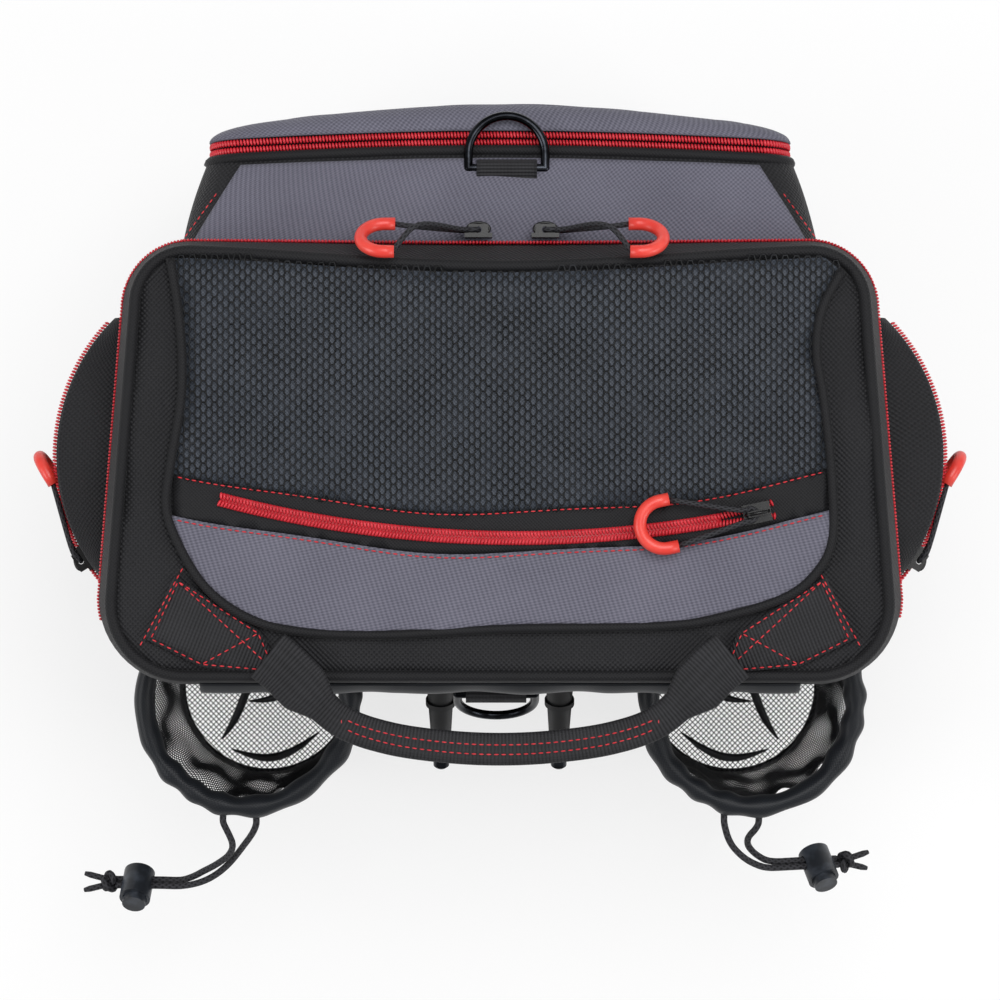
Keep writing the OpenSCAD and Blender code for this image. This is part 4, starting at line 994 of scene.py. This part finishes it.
# ---------------------------------------------------------------- hardware
def pulls():
    """Each slider's pull: a red tube bent to a U, on a loop of braided cord through the slider."""
    mouth_x, bend, leg = 46.8, 12.0, 5.0

    def main(s, x):
        return Matrix(((s, 0, 0, x), (0, 0, 1, HALF_D), (0, 1, 0, ZIP_Z), (0, 0, 0, 1)))
    lid_place = (Matrix.Translation((ZIP_CENTRE[0], ZIP_CENTRE[1], 258.8)) @ Matrix.Rotation(math.radians(11.9), 4, "Z")
                 @ Matrix.Translation((0, -ZIP_R, 0)) @ Matrix.Rotation(math.pi, 4, "Z"))
    front_place = Matrix(((0, 0, -1, -FRONT_W2), (0, 1, 0, FRONT_ZIP_Y), (-1, 0, 0, 128), (0, 0, 0, 1)))

    def side_place(s):
        turn = Matrix.Rotation(math.radians(-32), 4, "Z") @ Matrix.Translation((SIDE_R, 0, 0))
        flip = Matrix(((0, 0, 1, 0), (1, 0, 0, 0), (0, 1, 0, 0), (0, 0, 0, 1)))
        return Matrix.Diagonal((s, 1, 1, 1)) @ Matrix.Translation((SIDE_CX, SIDE_MID, SIDE_ZIP_Z)) @ turn @ flip
    knee = (30, 22, 0, 5)
    for name, place, twist, shift, bends in (
            ("main_left_pull", main(-1, -11), -40, (24, -6), [knee]), ("main_right_pull", main(1, 23), -40, (24, -6), [knee]),
            ("lid_pocket_pull", lid_place, 0, (-4, 0.4), []), ("front_pull", front_place, 0, (0, 2.6), []),
            ("left_pull", side_place(-1), 0, (-14, -9), []), ("right_pull", side_place(1), 0, (-14, -9), [])):
        c, s = math.cos(math.radians(twist)), math.sin(math.radians(twist))

        def at(x, y, z=0.0, c=c, s=s, shift=shift, place=place):
            return tuple(place @ Vector((x, y * c + shift[0], y * s + shift[1] + BAIL_Z)))
        grip = [at(mouth_x - leg, bend)] + [at(x, y) for x, y in arc(mouth_x, 0, bend, 90, -90, 20)] + [at(mouth_x - leg, -bend)]
        tubed = tube(f"{name}_tube", grip, GRIP_R, PVC, name, sides=20)
        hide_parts(name)
        loop = [at(mouth_x - leg + 1, bend)] + [tuple(place @ Vector((k[0], k[1] + k[3], k[2] + BAIL_Z))) for k in bends]
        loop += [tuple(place @ Vector((x, y, BAIL_Z))) for x, y in ((9, 3.4), (3, 3.0), (0, 0), (3, -3.0), (9, -3.4))]
        loop += [tuple(place @ Vector((k[0], k[1] - k[3], k[2] + BAIL_Z))) for k in bends] + [at(mouth_x - leg + 1, -bend)]
        tube(f"{name}_cord", curve_through(loop, 6), PULL_CORD_R, BRAID, name, sides=10)


def slider_eyes():
    """Each slider's cast bail: a small glossy eye over the hole that the pull's cord goes through."""
    for name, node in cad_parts.items():
        if name.endswith("_slider"):
            low, high = (Vector(c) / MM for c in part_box(name))
            middle, size = (low + high) / 2, high - low
            thin = min(range(3), key=lambda k: size[k])
            long = max(range(3), key=lambda k: size[k])
            axes = [Vector([1.0 if k == i else 0.0 for k in range(3)]) for i in (long, thin)]
            if name.startswith(("left", "right")):
                axes = [Vector((0, 1, 0)), Vector((math.copysign(1, middle.x), 0, 0))]
            if name.startswith("main"):
                axes = [Vector((1, 0, 0)), Vector((0, 1, 0))]
            if name.startswith("front"):
                axes = [Vector((0, 0, 1)), Vector((-1, 0, 0))]
            if name.startswith("lid"):
                axes = [Vector((1, 0.2, 0)).normalized(), Vector((0, 0, 1))]
            eye = [tuple(middle + axes[0] * 5.6 * math.cos(a) + axes[1] * (1.2 + 3.0 * math.sin(a)))
                   for a in (2 * math.pi * k / 24 for k in range(24))]
            tube(name + "_eye", eye, 0.9, ENAMEL, name, sides=10, closed=True,
                 up=tuple(axes[0].cross(axes[1])))


def ring_tabs():
    """Ribbed webbing folded round the bar of each D ring and sewn down."""
    front = [(137, 213.6), (142, 213.6), (147, 214.4)] + arc(151.9, 212.4, 4.0, 120, -90, 10) + [(146, 208.2), (140, 209.5)]
    rear = [(-115.2, 203), (-115.4, 210)] + arc(-118.35, 220, 4.0, -40, -180, 6)
    rear += arc(-118.35, 220, 4.0, 180, 40, 8) + [(-114.9, 229)]
    for name, middle, line in (("front_ring_tab", 3.5, front), ("rear_ring_tab", -2, rear)):
        line = resample(line, 40)
        piece = surface(name, lambda u, v, line=line, middle=middle: (
            middle - 15.5 + 31 * u, line[round(v * 39)][0], line[round(v * 39)][1]), 12, 40, WEBBING, "bag")
        thicken(piece, 1.3, offset=0)
        if name == "front_ring_tab":
            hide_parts("ring_tabs")


def finish_nodes():
    """Gives the CAD nodes that stay in view their finish."""
    kinds = (("slider", ENAMEL), ("ring", GUNMETAL), ("lock", ACETAL), ("pegs", RUBBER), ("beads", GUNMETAL),
             ("feet", RUBBER), ("board", BOARD))
    for name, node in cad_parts.items():
        for word, material in kinds:
            if word in name and "tabs" not in name:
                for slot in node.material_slots:
                    slot.material = material


# ---------------------------------------------------------------- floor and light
def studio():
    """A pale floor that reads as white to the camera but keeps the shadow, and soft plain light."""
    bpy.context.scene.view_settings.view_transform = "Standard"
    mesh = bpy.data.meshes.new("floor")
    mesh.from_pydata([(-6, -6, 0), (6, -6, 0), (6, 6, 0), (-6, 6, 0)], [], [(0, 1, 2, 3)])
    floor = bpy.data.objects.new("floor", mesh)
    bpy.context.collection.objects.link(floor)
    mat, tree, bsdf = new_material("floor_paper", Roughness=0.9)
    bsdf.inputs["Base Color"].default_value = linear("#F4F4F4")
    seen = add(tree, "ShaderNodeLightPath")["Is Camera Ray"]
    share = add(tree, "ShaderNodeMath", seen, 0.72, operation="MULTIPLY")[0]
    glow = add(tree, "ShaderNodeEmission", (1, 1, 1, 1), 1.0)[0]
    mixed = add(tree, "ShaderNodeMixShader", share, bsdf.outputs[0], glow)[0]
    tree.links.new(mixed, tree.nodes["Material Output"].inputs[0])
    mesh.materials.append(mat)
    world = bpy.data.worlds.new("studio")
    world.use_nodes = True
    world.node_tree.nodes["Background"].inputs[0].default_value = (1, 1, 1, 1)
    world.node_tree.nodes["Background"].inputs[1].default_value = 0.42
    bpy.context.scene.world = world
    for name, place, size, power in (("top", (0.3, 0.6, 1.9), 1.2, 22), ("left", (-1.4, -0.3, 1.1), 0.8, 10),
                                     ("right", (1.4, -0.5, 1.0), 0.8, 8)):
        light = bpy.data.lights.new(name, "AREA")
        light.energy, light.size = power, size
        lamp = bpy.data.objects.new(name, light)
        lamp.location = place
        lamp.rotation_euler = (Vector((0, 0, 0.15)) - Vector(place)).to_track_quat("-Z", "Y").to_euler()
        bpy.context.collection.objects.link(lamp)


camera()
cords()
walls()
main_zip()
lid()
lid_pocket()
anchors()
handle()
front_pocket()
side_pockets()
bottle_pockets()
pulls()
slider_eyes()
ring_tabs()
finish_nodes()
for body, spots in STITCHES.items():
    rounded_parts(f"{body}_stitches", spots, {"Length": 2.6, "Width": 0.75, "Height": 0.6}, THREAD, body)
for body, spots in TEETH.items():
    rounded_parts(f"{body}_teeth", spots, {"Length": 3.9, "Width": 1.5, "Height": 2.0}, COIL, body)
studio()
